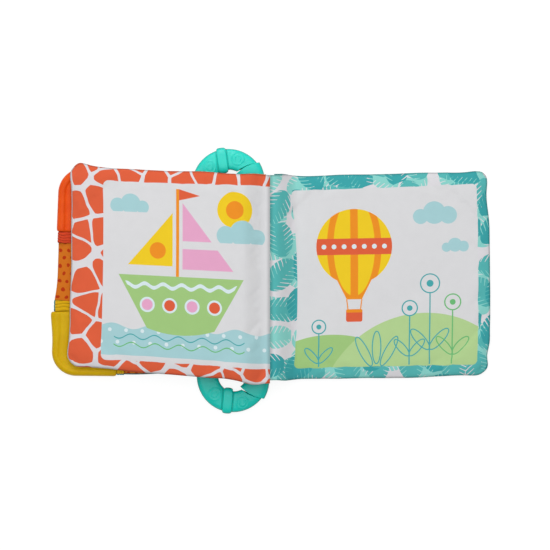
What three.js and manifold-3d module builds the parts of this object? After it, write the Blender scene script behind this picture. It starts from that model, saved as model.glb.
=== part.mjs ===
import * as THREE from "three";
import { mergeVertices } from "three/addons/utils/BufferGeometryUtils.js";
import Module from "manifold-3d";

// A crinkle cloth book lying open: a front cover under a turned page on the left, the back cover's page
// on the right, two corner teethers sewn round the front cover and two ring links on ribbon loops.
// Sizes are in millimetres. X runs across the open book, Y to its upper edge and Z up from the surface
// that it lies on. The fold of the spine lies over the origin.

// Clearances and cloth
const gap = 0.3; // between pieces that touch
const leafGap = 0.5; // between two leaves that lie on each other
const fabric = 0.9; // a quilted fabric panel
const film = 0.4; // the crinkle film with its loose folds
const spineHalf = 3; // from the fold to the inner edge of a leaf
const spineRoll = 20; // width over which a leaf swells from the fold
const rimCorner = 3; // radius of a leaf's corners at the spine

// Corner teethers, a bulb outside and a flat lip that runs in over the cloth
const teether = { width: 13, height: 11, wall: 1.8, leg: 49.8 };
const orangeCorner = 24; // outer radius at the bend
const yellowCorner = 20;
// Across the section from the outer face in, as shares of the width and of half the height
const teetherShares = [
  [0, 0.22], [0.03, 0.52], [0.1, 0.8], [0.19, 0.96], [0.29, 1], [0.39, 0.95], [0.47, 0.82],
  [0.52, 0.8], [0.58, 0.86], [0.8, 0.85], [0.95, 0.78], [1, 0.66],
];
const cuff = { width: 9.6, height: 9.4, wall: 0.9, ripple: 0.35 };
const cuffShares = [
  [0, 0.3], [0.06, 0.66], [0.18, 0.92], [0.36, 1], [0.6, 0.98], [0.85, 0.92], [1, 0.82],
];
const sideCuff = 9; // length along the edge
const endCuff = 6;

// The leaves. Each end of a leaf has its distance from the X axis at the spine and at the outer edge, how
// far the middle of that edge stands out, how far it stops short of the book's reach and its corner.
const bookReach = 174.6; // from the fold to the farthest corner of the back cover's page
const cover = {
  side: -1, crown: 7, dome: 0, roll: 24,
  top: { spine: 84.2, outer: 88.4, bow: -0.6, short: 7.4, corner: orangeCorner - teether.wall },
  bottom: { spine: 78.4, outer: 75.2, bow: -1.4, short: 0.7, corner: yellowCorner - teether.wall },
  reachBow: 0,
};
const page = {
  side: -1, crown: 8, dome: 0.8, roll: 18,
  top: { spine: 83.8, outer: 92.8, bow: -1.2, short: 15.3, corner: 8 },
  bottom: { spine: 81.8, outer: 68.1, bow: 0.4, short: 12.6, corner: 8 },
  reachBow: -1.4,
};
const back = {
  side: 1, crown: 8, dome: 0.8, roll: 18,
  top: { spine: 83.9, outer: 86.7, bow: -0.3, short: 0.6, corner: 6.5 },
  bottom: { spine: 80.3, outer: 76.4, bow: 0.2, short: 0, corner: 6.5 },
  reachBow: 2,
};
for (const leaf of [cover, page, back]) {
  for (const end of [leaf.top, leaf.bottom]) end.reach = bookReach - end.short;
}
const rollShares = [0, 0.17, 0.45, 1]; // grid lines across a rounded edge
const spineShares = [0, 0.25, 0.5, 0.75, 1]; // grid lines across the swelling at the spine
const middleSpans = 4; // cells between the rounded edges

// Ring links and their ribbon loops
const ring = { radius: 28.6, width: 16.4, height: 7.1, slit: 0.6 };
const band = { proud: 1.7, rise: 0.6, width: 5.6, edge: 0.8 }; // a straight strap across the ring
const head = { proud: 2.2, length: 14 }; // the end of the ring that stands proud at the slit
const slitAngle = 48; // degrees from +X, on the side away from the book
const slitSlant = 10; // degrees that the slit turns from the middle of the ring to its edge
const taperShare = 0.93; // width of the other end of the ring beside the slit
const bandFade = 34; // degrees over which the ring's sections turn from the band to the ring's middle
// The band's direction in degrees and how far it passes to the left of the ring's middle
const topRing = { x: -33.1, y: 75.7, bandAngle: 98, bandOffset: 2.3 };
const bottomRing = { x: -29.3, y: -77, bandAngle: 95, bandOffset: 2.9 };
const ribbon = { width: 9, thickness: 0.8, tab: 7 };
const stitch = { thickness: 0.7, pitch: 6.5, waistShare: 0.6 };

// Heights that follow from what lies on what
const edge = 2 * fabric + gap; // a leaf's thickness at its seam
const ringBottom = ribbon.thickness + gap;
const ringTop = ringBottom + ring.height + 2 * band.rise;
const ringFar = -topRing.x + ring.radius + band.proud;
const farthestReach = Math.max(cover.top.reach, cover.bottom.reach);
const coverOverRing = ringTop + gap + cover.crown / 2;
const coverSlope = (coverOverRing - teether.height / 2) / (farthestReach - ringFar);
const coverAtFold = coverOverRing + coverSlope * ringFar;

const wasm = await Module();
wasm.setup();

const clamp = (t) => Math.min(Math.max(t, 0), 1);
const mix = (a, b, t) => a + (b - a) * t;
const round = (t) => Math.sqrt(1 - (1 - clamp(t)) ** 2); // a quarter circle
const swell = (x) => {
  const t = clamp((x - spineHalf) / spineRoll);
  return t * t * (3 - 2 * t);
};

// Half the thickness of a leaf that far in from a rounded edge
const halfAt = (leaf, d) => edge / 2 + ((leaf.crown - edge) / 2) * round(d / leaf.roll);

// The page lies on the cover at the spine and on the orange teether at its outer edge.
const bulbDepth = page.top.outer - cover.top.outer - teether.wall + teetherShares[4][0] * teether.width;
const lipDepth = bulbDepth + (1 - teetherShares[4][0]) * teether.width;
const lipHeight = (teetherShares[9][1] * teether.height) / 2;
const pageOverCover = page.crown / 2 + cover.crown / 2 + leafGap;
const pageOverTeether = Math.max(
  pageOverCover,
  teether.height / 2 + leafGap + halfAt(page, bulbDepth),
  lipHeight + leafGap + halfAt(page, lipDepth),
);

// Height of the middle of each leaf, that far from the fold
cover.middle = (x) => coverAtFold - coverSlope * x;
page.middle = (x) => {
  const over = mix(pageOverCover, pageOverTeether, clamp(x / (cover.top.reach - teether.leg)));
  return cover.middle(x) + mix(edge + leafGap, over, swell(x));
};
const foldHeight = page.middle(spineHalf) + edge / 2;
const backRim = foldHeight - edge / 2 - leafGap;
back.middle = (x) => mix(backRim, back.crown / 2, swell(x));

// A closed mesh of its own vertices, with its faces out
function closedGeometry(points, faces) {
  let volume = 0;
  for (const [a, b, c] of faces) {
    volume += points[a].dot(new THREE.Vector3().crossVectors(points[b], points[c]));
  }
  const index = faces.flatMap(([a, b, c]) => (volume > 0 ? [a, b, c] : [a, c, b]));
  const geometry = new THREE.BufferGeometry().setFromPoints(points);
  return geometry.setIndex(index);
}

// A tube through rings of points, with flat ends
function sweptGeometry(rings) {
  const n = rings[0].length;
  const points = rings.flat();
  const faces = [];
  for (let i = 0; i + 1 < rings.length; i++) {
    for (let j = 0; j < n; j++) {
      const [a, b] = [i * n + j, i * n + ((j + 1) % n)];
      faces.push([a, b, b + n], [a, b + n, a + n]);
    }
  }
  for (const [first, facesBack] of [[0, true], [(rings.length - 1) * n, false]]) {
    const middle = points.length;
    const centre = new THREE.Vector3();
    for (let j = 0; j < n; j++) centre.addScaledVector(points[first + j], 1 / n);
    points.push(centre);
    for (let j = 0; j < n; j++) {
      const [a, b] = [first + j, first + ((j + 1) % n)];
      faces.push(facesBack ? [middle, b, a] : [middle, a, b]);
    }
  }
  return closedGeometry(points, faces);
}

function toManifold(geometry) {
  const bare = geometry.clone();
  bare.deleteAttribute("normal");
  bare.deleteAttribute("uv");
  const merged = mergeVertices(bare);
  return new wasm.Manifold(
    new wasm.Mesh({
      numProp: 3,
      vertProperties: merged.attributes.position.array,
      triVerts: new Uint32Array(merged.index.array),
    }),
  );
}

function fromManifold(solid) {
  const { vertProperties, triVerts } = solid.getMesh();
  const geometry = new THREE.BufferGeometry();
  geometry.setAttribute("position", new THREE.BufferAttribute(vertProperties, 3));
  return geometry.setIndex(new THREE.BufferAttribute(triVerts, 1));
}

// Grid lines across a leaf as distances from its inner and from its lower edge
function gridLines(first, last, length) {
  const lines = [...first];
  const inner = first.at(-1);
  const outer = length - last.at(-1);
  for (let i = 1; i < middleSpans; i++) lines.push(mix(inner, outer, i / middleSpans));
  return [...lines, ...last.map((d) => length - d).reverse()];
}

const leafWidth = (leaf) => (leaf.top.reach + leaf.bottom.reach) / 2 - spineHalf;
const leafHeight = (leaf) => leaf.top.outer + leaf.bottom.outer;

// The place in plan of a point u out from the inner edge and v up from the lower edge of a leaf
function placeOnLeaf(leaf, u, v) {
  const s = u / leafWidth(leaf);
  const t = v / leafHeight(leaf);
  const hump = (a, bow) => 4 * a * (1 - a) * bow;
  const reach = mix(leaf.bottom.reach, leaf.top.reach, t) + hump(clamp(t), leaf.reachBow);
  const low = -mix(leaf.bottom.spine, leaf.bottom.outer, s) - hump(clamp(s), leaf.bottom.bow);
  const high = mix(leaf.top.spine, leaf.top.outer, s) + hump(clamp(s), leaf.top.bow);
  return { x: mix(spineHalf, reach, s), y: mix(low, high, t) };
}

// Takes a point of the square at a corner onto a quarter disc of that radius
function roundCorner(du, dv, radius) {
  if (du >= radius || dv >= radius) return [du, dv];
  const a = radius - du;
  const b = radius - dv;
  const scale = Math.max(a, b) / Math.hypot(a, b);
  return [radius - a * scale, radius - b * scale];
}

// The solid between two surfaces of a leaf. low and high give a height from the middle of the leaf and
// half its thickness; inset leaves out that many grid cells along every edge; grow widens the outline.
function leafSolid(leaf, low, high, inset = 0, grow = 0) {
  const width = leafWidth(leaf);
  const height = leafHeight(leaf);
  const rounded = rollShares.map((share) => share * leaf.roll);
  const inner = spineShares.map((share) => share * spineRoll);
  const us = gridLines(inner, rounded, width);
  const vs = gridLines(rounded, rounded, height);
  const points = [];
  const columns = us.slice(inset, us.length - inset);
  const rows = vs.slice(inset, vs.length - inset);
  const placed = (u, v) => {
    const upper = v > height / 2;
    const outer = u > width / 2;
    const corner = outer ? (upper ? leaf.top : leaf.bottom).corner : rimCorner;
    const [du, dv] = roundCorner(outer ? width - u : u, upper ? height - v : v, corner);
    return placeOnLeaf(leaf, outer ? width - du : du, upper ? height - dv : dv);
  };
  const spread = (d, size) => (grow && d <= 0 ? -grow : grow && d >= size ? size + grow : d);
  for (const surface of [low, high]) {
    for (const u of columns) {
      for (const v of rows) {
        const { x, y } = placed(u, v);
        const grown = placed(spread(u, width), spread(v, height));
        const out = grow ? grown : { x, y };
        const body = round((width - u) / leaf.roll) * round(v / leaf.roll) * round((height - v) / leaf.roll);
        const half = edge / 2 + ((leaf.crown - edge) / 2) * body * swell(x);
        const swelling = Math.sin((Math.PI * u) / width) * Math.sin((Math.PI * v) / height);
        const z = surface(leaf.middle(x), half, leaf.dome * swelling * body);
        points.push(new THREE.Vector3(leaf.side * out.x, out.y, z));
      }
    }
  }
  const n = rows.length;
  const layer = columns.length * n;
  const at = (i, j) => i * n + j;
  const faces = [];
  for (let i = 0; i + 1 < columns.length; i++) {
    for (let j = 0; j + 1 < n; j++) {
      const [a, b, c, d] = [at(i, j), at(i + 1, j), at(i + 1, j + 1), at(i, j + 1)];
      const falling = i < columns.length / 2 === j < n / 2;
      const pair = falling ? [[a, b, c], [a, c, d]] : [[a, b, d], [b, c, d]];
      for (const [p, q, r] of pair) faces.push([p + layer, q + layer, r + layer], [p, r, q]);
    }
  }
  const rim = [];
  for (let i = 0; i + 1 < columns.length; i++) rim.push([at(i, 0), at(i + 1, 0)]);
  for (let j = 0; j + 1 < n; j++) rim.push([at(columns.length - 1, j), at(columns.length - 1, j + 1)]);
  for (let i = columns.length - 1; i > 0; i--) rim.push([at(i, n - 1), at(i - 1, n - 1)]);
  for (let j = n - 1; j > 0; j--) rim.push([at(0, j), at(0, j - 1)]);
  for (const [a, b] of rim) faces.push([a, b, b + layer], [a, b + layer, a + layer]);
  return closedGeometry(points, faces);
}

// The four pieces of a leaf, from the top down
const upperPanel = (leaf) =>
  leafSolid(leaf, (m, half, dome) => m + half + dome - fabric, (m, half, dome) => m + half + dome);
const lowerPanel = (leaf) => leafSolid(leaf, (m, half) => m - half, (m, half) => m - half + fabric);
const filmSheet = (leaf) =>
  leafSolid(
    leaf,
    (m, half, dome) => m + half + dome - fabric - gap - film,
    (m, half, dome) => m + half + dome - fabric - gap,
    1,
  );
const battingPad = (leaf) =>
  leafSolid(
    leaf,
    (m, half) => m - half + fabric + gap,
    (m, half, dome) => m + half + dome - fabric - film - 2 * gap,
    1,
  );
const leafEnvelope = (leaf) =>
  leafSolid(leaf, (m, half) => m - half - gap, (m, half, dome) => m + half + dome + gap, 0, gap);

// The line round a corner of the cover, that far in from its seam: a leg up the side, the bend and a
// leg along the end. Distances are measured from the corner along each leg.
function cornerLine(end, depth, outerRadius, from, to, steps) {
  const width = leafWidth(cover);
  const height = leafHeight(cover);
  const radius = outerRadius - teether.wall - depth;
  const bend = (Math.PI / 2) * radius;
  const legStart = teether.leg - depth - radius;
  const whole = 2 * legStart + bend;
  const points = [];
  for (let i = 0; i <= steps; i++) {
    const s = mix(from, whole - to, i / steps);
    let [du, dv] = [depth, depth + radius + legStart - s];
    if (s > legStart + bend) [du, dv] = [depth + radius + s - legStart - bend, depth];
    else if (s > legStart) {
      const turn = (s - legStart) / radius;
      du = depth + radius * (1 - Math.cos(turn));
      dv = depth + radius * (1 - Math.sin(turn));
    }
    const { x, y } = placeOnLeaf(cover, width - du, end > 0 ? height - dv : dv);
    points.push(new THREE.Vector3(cover.side * x, y, cover.middle(x)));
  }
  return points;
}

// A section swept along the edge of the cover and hollowed where the cloth lies in it
function edgePiece(line, size, shares, swellAt) {
  const rings = line.map((point, i) => {
    const before = line[Math.max(i - 1, 0)];
    const after = line[Math.min(i + 1, line.length - 1)];
    const along = new THREE.Vector3().subVectors(after, before).normalize();
    const across = new THREE.Vector3(-along.y, along.x, 0).normalize();
    const middle = new THREE.Vector3(cover.side * leafWidth(cover), 0, 0).divideScalar(2).sub(point);
    if (across.dot(middle) < 0) across.negate();
    const more = swellAt(i / (line.length - 1));
    const section = [...shares.map(([a, b]) => [a, b]), ...shares.map(([a, b]) => [a, -b]).reverse()];
    return section.map(([a, b]) => {
      const inwards = a * (size.width + more) - size.width / 2 - more / 2;
      const up = b * (size.height / 2 + more / 2);
      return point.clone().addScaledVector(across, inwards).add(new THREE.Vector3(0, 0, up));
    });
  });
  return toManifold(sweptGeometry(rings)).subtract(toManifold(leafEnvelope(cover)));
}

const teetherSteps = 22;
const teetherEnds = (t) => -teether.wall * (1 - round(Math.min(t, 1 - t) * teetherSteps * 0.5));
function cornerTeether(end, outerRadius) {
  const line = cornerLine(end, teether.width / 2 - teether.wall, outerRadius, 0, 0, teetherSteps);
  return fromManifold(edgePiece(line, teether, teetherShares, teetherEnds));
}

// Gathered cloth where a teether ends, on the side of the cover or along its end
const cuffSteps = 12;
const gathers = 3;
function gatheredCuff(end, outerRadius, alongSide) {
  const length = alongSide ? sideCuff : endCuff;
  const depth = cuff.width / 2 - cuff.wall;
  const radius = outerRadius - teether.wall - depth;
  const whole = 2 * (teether.leg - depth - radius) + (Math.PI / 2) * radius;
  const [from, to] = alongSide ? [-gap - length, whole + gap] : [whole + gap, -gap - length];
  const line = cornerLine(end, depth, outerRadius, from, to, cuffSteps);
  const ripple = (t) => cuff.ripple * (Math.cos(2 * Math.PI * gathers * t) - 1);
  return fromManifold(edgePiece(line, cuff, cuffShares, ripple));
}

// The angle from a line's own direction at which it leaves a circle whose middle it passes at a distance
const leanOf = (passes, radius) => Math.atan2(passes, Math.sqrt(Math.max(radius ** 2 - passes ** 2, 0)));

// The open ring, its band and the proud head beside the slanted slit. A section lies along a line that
// passes the ring's middle at a distance: along the band there, and through the middle away from it.
const ringSides = 14;
const ringStep = 9; // degrees
const degrees = Math.PI / 180;
function ringLink({ x, y, bandAngle, bandOffset }) {
  const middle = ring.radius - ring.width / 2;
  const angleAt = (offset) => bandAngle + leanOf(offset, middle) / degrees;
  const slitHalf = ring.slit / 2 / middle / degrees;
  const headLength = head.length / middle / degrees;
  const headEdge = band.edge / middle / degrees;
  const start = slitAngle + slitHalf;
  const end = slitAngle + 360 - slitHalf;
  const bandSides = [-band.width / 2 - band.edge, -band.width / 2, band.width / 2, band.width / 2 + band.edge];
  const angles = bandSides.map((side) => angleAt(bandOffset + side));
  angles.push(start, end, end - headLength, end - headLength - headEdge);
  const free = (a) => angles.every((angle) => Math.abs(angle - a) > ringStep / 3);
  for (let a = start; a < end; a += ringStep) if (free(a)) angles.push(a);
  angles.sort((a, b) => a - b);
  const rings = angles.map((angle) => {
    const fromBand = Math.abs(angle - angleAt(bandOffset)) - (angleAt(band.width) - bandAngle);
    const passes = middle * Math.sin((angle - bandAngle) * degrees) * clamp(1 - fromBand / bandFade);
    const beside = Math.abs(middle * Math.sin((angle - bandAngle) * degrees) - bandOffset);
    const onBand = fromBand < ringStep ? clamp((band.width / 2 + band.edge - beside) / band.edge) : 0;
    const onHead = clamp((angle - end + headLength + headEdge) / headEdge);
    const taper = mix(taperShare, 1, clamp((angle - start) / (2 * headLength)));
    const more = band.proud * onBand + head.proud * onHead;
    const halfWidth = (ring.width / 2) * taper + more;
    const halfHeight = ring.height / 2 + band.rise * Math.min(more / band.proud, 1);
    const nearSlit = clamp(1 - Math.min(angle - start, end - angle) / headLength);
    const section = [];
    for (let i = 0; i < ringSides; i++) {
      const turn = (2 * Math.PI * (i + 0.5)) / ringSides;
      const across = Math.sign(Math.cos(turn)) * Math.abs(Math.cos(turn)) ** 0.75;
      const up = Math.sign(Math.sin(turn)) * Math.abs(Math.sin(turn)) ** 0.75;
      const radius = middle + across * halfWidth;
      const lean = leanOf(passes, radius) - leanOf(passes, middle);
      const place = (angle - slitSlant * across * nearSlit) * degrees + lean;
      const flip = y > 0 ? 1 : -1;
      section.push(
        new THREE.Vector3(radius * Math.cos(place), flip * radius * Math.sin(place), up * halfHeight),
      );
    }
    return section;
  });
  return sweptGeometry(rings).translate(x, y, (ringBottom + ringTop) / 2);
}

// The ribbon round the part of the ring that lies under the cover, and its sewn tab
function loopOutline({ y }) {
  const towards = y > 0 ? -1 : 1; // to the middle of the book
  const holeRadius = ring.radius - ring.width - head.proud - gap;
  const holeSide = Math.sqrt(holeRadius ** 2 - (ribbon.width / 2) ** 2) - ribbon.thickness;
  const farSide = ring.radius + head.proud + gap + ribbon.thickness;
  return {
    near: y + towards * holeSide,
    far: y + towards * farSide,
    towards,
    low: 0,
    high: ringTop + gap + ribbon.thickness,
  };
}

function roundedRectangle(path, left, right, low, high, radius) {
  path.moveTo(left + radius, low);
  path.lineTo(right - radius, low);
  path.absarc(right - radius, low + radius, radius, -Math.PI / 2, 0);
  path.lineTo(right, high - radius);
  path.absarc(right - radius, high - radius, radius, 0, Math.PI / 2);
  path.lineTo(left + radius, high);
  path.absarc(left + radius, high - radius, radius, Math.PI / 2, Math.PI);
  path.lineTo(left, low + radius);
  path.absarc(left + radius, low + radius, radius, Math.PI, 1.5 * Math.PI);
  return path;
}

// Extrudes an outline of the YZ plane along X, about that x
function alongX(shape, x, width) {
  const geometry = new THREE.ExtrudeGeometry(shape, { depth: width, bevelEnabled: false, curveSegments: 4 });
  geometry.rotateX(Math.PI / 2).rotateZ(Math.PI / 2);
  return geometry.translate(x - width / 2, 0, 0);
}

function ribbonLoop(place) {
  const { near, far, low, high } = loopOutline(place);
  const [left, right] = [Math.min(near, far), Math.max(near, far)];
  const t = ribbon.thickness;
  const shape = roundedRectangle(new THREE.Shape(), left, right, low, high, 2 * t);
  shape.holes.push(roundedRectangle(new THREE.Path(), left + t, right - t, low + t, high - t, t));
  return alongX(shape, place.x, ribbon.width);
}

// The sewn end fills the wedge between the loop's upper side and the sloping cover.
function ribbonTab(place) {
  const { far, towards, high } = loopOutline(place);
  const low = high - ribbon.thickness;
  const under = (x) => cover.middle(-x) - cover.crown / 2 - gap;
  const [left, right] = [place.x - ribbon.width / 2, place.x + ribbon.width / 2];
  const [near, end] = [far + towards * gap, far + towards * (gap + ribbon.tab)];
  const corners = [[left, low], [right, low], [right, under(right)], [left, under(left)]];
  return sweptGeometry([near, end].map((y) => corners.map(([x, z]) => new THREE.Vector3(x, y, z))));
}

// The strip of cover fabric under the fold, and the thread that holds the leaves to it
function spineStrip() {
  const reach = spineHalf - gap;
  const [low, high] = [cover.middle(spineHalf), backRim];
  const half = fabric / 2;
  const corners = [[-reach, low - half], [reach, high - half], [reach, high + half], [-reach, low + half]];
  const ends = [-cover.bottom.spine + rimCorner, cover.top.spine - rimCorner];
  return sweptGeometry(ends.map((y) => corners.map(([x, z]) => new THREE.Vector3(x, y, z))));
}

function spineThread() {
  const [bottom, top] = [-cover.bottom.spine + 2 * rimCorner, cover.top.spine - 2 * rimCorner];
  const stitches = Math.round((top - bottom) / stitch.pitch);
  const middle = (cover.middle(spineHalf) + backRim) / 2;
  const rise = fabric / 2 + gap + stitch.thickness;
  const sides = 5;
  const rings = [];
  for (let i = 0; i <= 2 * stitches; i++) {
    const radius = (stitch.thickness / 2) * (i % 2 ? 1 : stitch.waistShare);
    const y = mix(bottom, top, i / (2 * stitches));
    rings.push(
      Array.from({ length: sides }, (_, k) => {
        const turn = (2 * Math.PI * k) / sides;
        return new THREE.Vector3(radius * Math.cos(turn), y, middle + rise + radius * Math.sin(turn));
      }),
    );
  }
  return sweptGeometry(rings);
}

const finish = (color, roughness) => new THREE.MeshStandardMaterial({ color, roughness, metalness: 0 });
const tealCloth = finish(0x2f9a99, 0.9);
const dottedCloth = finish(0xe17d23, 0.85);
const printedCloth = finish(0xdedcde, 0.85);
const batting = finish(0xf2f2ee, 1);
const clearFilm = finish(0xc9d4dc, 0.35);
const orangeSilicone = finish(0xf05f19, 0.45);
const yellowSilicone = finish(0xd2af0a, 0.45);
const orangeCuffCloth = finish(0xd74b28, 0.85);
const yellowCuffCloth = finish(0xcda014, 0.85);
const ringPlastic = finish(0x2dc8b4, 0.35);
const threadCotton = finish(0xe8e8e8, 0.9);

const piece = (name, geometry, material) => {
  const mesh = new THREE.Mesh(geometry, material);
  mesh.name = name;
  return mesh;
};

// The four pieces of a leaf as a group
function leafGroup(name, leaf, upperName, upperMaterial, lowerName, lowerMaterial) {
  const group = new THREE.Group();
  group.add(
    piece(upperName, upperPanel(leaf), upperMaterial),
    piece(name + "_crinkle_film", filmSheet(leaf), clearFilm),
    piece(name + "_batting", battingPad(leaf), batting),
    piece(lowerName, lowerPanel(leaf), lowerMaterial),
  );
  return group;
}

const book = new THREE.Group();
book.add(
  leafGroup("cover", cover, "cover_inner_fabric", dottedCloth, "cover_outer_fabric", tealCloth),
  leafGroup("page", page, "page_left_fabric", printedCloth, "page_reverse_fabric", printedCloth),
  leafGroup("back", back, "back_inner_fabric", printedCloth, "back_outer_fabric", tealCloth),
  piece("orange_corner_teether", cornerTeether(1, orangeCorner), orangeSilicone),
  piece("yellow_corner_teether", cornerTeether(-1, yellowCorner), yellowSilicone),
  piece("orange_cuff_side", gatheredCuff(1, orangeCorner, true), orangeCuffCloth),
  piece("orange_cuff_top", gatheredCuff(1, orangeCorner, false), orangeCuffCloth),
  piece("yellow_cuff_side", gatheredCuff(-1, yellowCorner, true), yellowCuffCloth),
  piece("yellow_cuff_bottom", gatheredCuff(-1, yellowCorner, false), yellowCuffCloth),
  piece("spine_strip", spineStrip(), tealCloth),
  piece("spine_thread", spineThread(), threadCotton),
);
for (const [name, place] of [["top", topRing], ["bottom", bottomRing]]) {
  book.add(
    piece("ring_link_" + name, ringLink(place), ringPlastic),
    piece("ring_loop_" + name, ribbonLoop(place), tealCloth),
    piece("ring_tab_" + name, ribbonTab(place), tealCloth),
  );
}

export default book;
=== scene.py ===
"""The finished look of a crinkle cloth book that lies open: padded printed leaves, two corner teethers in
gathered cuffs and two ring links on ribbon loops.

The file is laid out as a Blender add-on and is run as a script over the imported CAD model. Sizes that
repeat the CAD source are in millimetres, and each mesh is scaled to metres when it is made."""

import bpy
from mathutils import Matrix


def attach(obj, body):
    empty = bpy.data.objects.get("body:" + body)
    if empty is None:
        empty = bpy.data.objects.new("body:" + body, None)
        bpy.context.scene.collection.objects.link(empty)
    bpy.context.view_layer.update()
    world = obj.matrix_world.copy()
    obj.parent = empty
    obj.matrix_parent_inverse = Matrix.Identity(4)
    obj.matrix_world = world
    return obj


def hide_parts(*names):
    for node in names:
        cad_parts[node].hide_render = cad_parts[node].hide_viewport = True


bl_info = {
    "name": "Crinkle Cloth Book",
    "version": (1, 0, 0),
    "blender": (4, 5, 0),
    "location": "View3D > Sidebar > Cloth Book",
    "description": "Dresses the packed model of a crinkle cloth book in cloth, silicone and plastic",
    "category": "Object",
}

import math

import bpy
import numpy as np
from bpy.props import FloatProperty, FloatVectorProperty, IntProperty, PointerProperty
from bpy.types import Operator, Panel, PropertyGroup

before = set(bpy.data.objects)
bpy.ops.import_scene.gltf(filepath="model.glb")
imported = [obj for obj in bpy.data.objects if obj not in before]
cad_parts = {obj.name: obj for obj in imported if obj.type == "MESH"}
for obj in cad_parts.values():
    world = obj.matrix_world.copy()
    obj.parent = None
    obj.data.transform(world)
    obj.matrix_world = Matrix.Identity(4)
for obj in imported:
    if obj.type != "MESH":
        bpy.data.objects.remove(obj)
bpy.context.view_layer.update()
MM = 0.001


# Numbers


def clamp(t):
    return np.clip(t, 0.0, 1.0)


def mix(a, b, t):
    return a + (b - a) * t


def smooth(t):
    t = clamp(t)
    return t * t * (3 - 2 * t)


def rounded(t, fullness=2.0):
    """Rises from 0 to 1 like a quarter circle, or fuller than that."""
    return np.sqrt(1 - (1 - clamp(t)) ** fullness)


def hump(t, height):
    t = clamp(t)
    return 4 * t * (1 - t) * height


def bell(x, middle, width):
    return np.exp(-(((x - middle) / width) ** 2))


def fuller(wave, power):
    """A sine or a cosine made fuller, for a section with rounded corners."""
    return np.sign(wave) * np.abs(wave) ** power


def paint(red, green, blue):
    """A colour of a paint chart, from 0 to 255, as linear light."""
    shares = [c / 255 for c in (red, green, blue)]
    return tuple(c / 12.92 if c <= 0.04045 else ((c + 0.055) / 1.055) ** 2.4 for c in shares)


# The book in millimetres, with the sizes of the CAD source. Fitted more closely to the photograph than there
# are the outer corners of the cover and of the back leaf, the soft places in the edges, and how far teethers
# and cuffs reach in under the page.

SPINE_HALF = 3.0
SPINE_ROLL = 20.0
CLOTH = 0.9
GAP = 0.3
SPINE_EDGE = CLOTH + GAP / 2  # half the thickness of a leaf at the spine
LEAF_GAP = 0.5
REACH = 174.6  # from the fold to the farthest corner of the back cover's page
COVER_CROWN, PAGE_CROWN = 7.0, 8.0
TEETHER = {"width": 13.0, "height": 11.0, "wall": 1.8, "leg": 49.8}
CUFF = {"width": 9.6, "height": 9.4, "wall": 0.9, "side": 9.0, "end": 6.0, "under": 4.3}
RIBBON = {"width": 9.0, "thickness": 0.8, "tab": 7.0}
RING = {"radius": 28.6, "width": 16.4, "height": 7.1, "slit": 0.6}
BAND = {"proud": 1.7, "rise": 0.6, "width": 5.6, "edge": 0.8, "fade": 34.0}  # fade is in degrees
HEAD = {"proud": 2.2, "length": 14.0}
# Where the middle of each ring is, the direction of its band in degrees, and how far that passes the middle
RINGS = {
    "top": {"x": -33.1, "y": 75.7, "band": 98.0, "offset": 2.3},
    "bottom": {"x": -29.3, "y": -77.0, "band": 95.0, "offset": 2.9},
}
RING_LOW = RIBBON["thickness"] + GAP
RING_HIGH = RING_LOW + RING["height"] + 2 * BAND["rise"]
RING_FAR = -RINGS["top"]["x"] + RING["radius"] + BAND["proud"]
COVER_REACH = {"top": REACH - 7.4, "bottom": REACH - 0.7}
COVER_OVER_RING = RING_HIGH + GAP + COVER_CROWN / 2
COVER_SLOPE = (COVER_OVER_RING - TEETHER["height"] / 2) / (COVER_REACH["bottom"] - RING_FAR)
COVER_AT_FOLD = COVER_OVER_RING + COVER_SLOPE * RING_FAR
FOLD_HEIGHT = COVER_AT_FOLD - COVER_SLOPE * SPINE_HALF + 3 * SPINE_EDGE + LEAF_GAP
PAGE_OVER_COVER = PAGE_CROWN / 2 + COVER_CROWN / 2 + LEAF_GAP
EDGE_FADE = 14.0  # how far in a change of an edge is felt


def near_edge(distance):
    """How much a change of an edge is felt at a distance from it, from 1 down to 0 some way in."""
    return (1 - clamp(distance / EDGE_FADE)) ** 1.6


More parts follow.
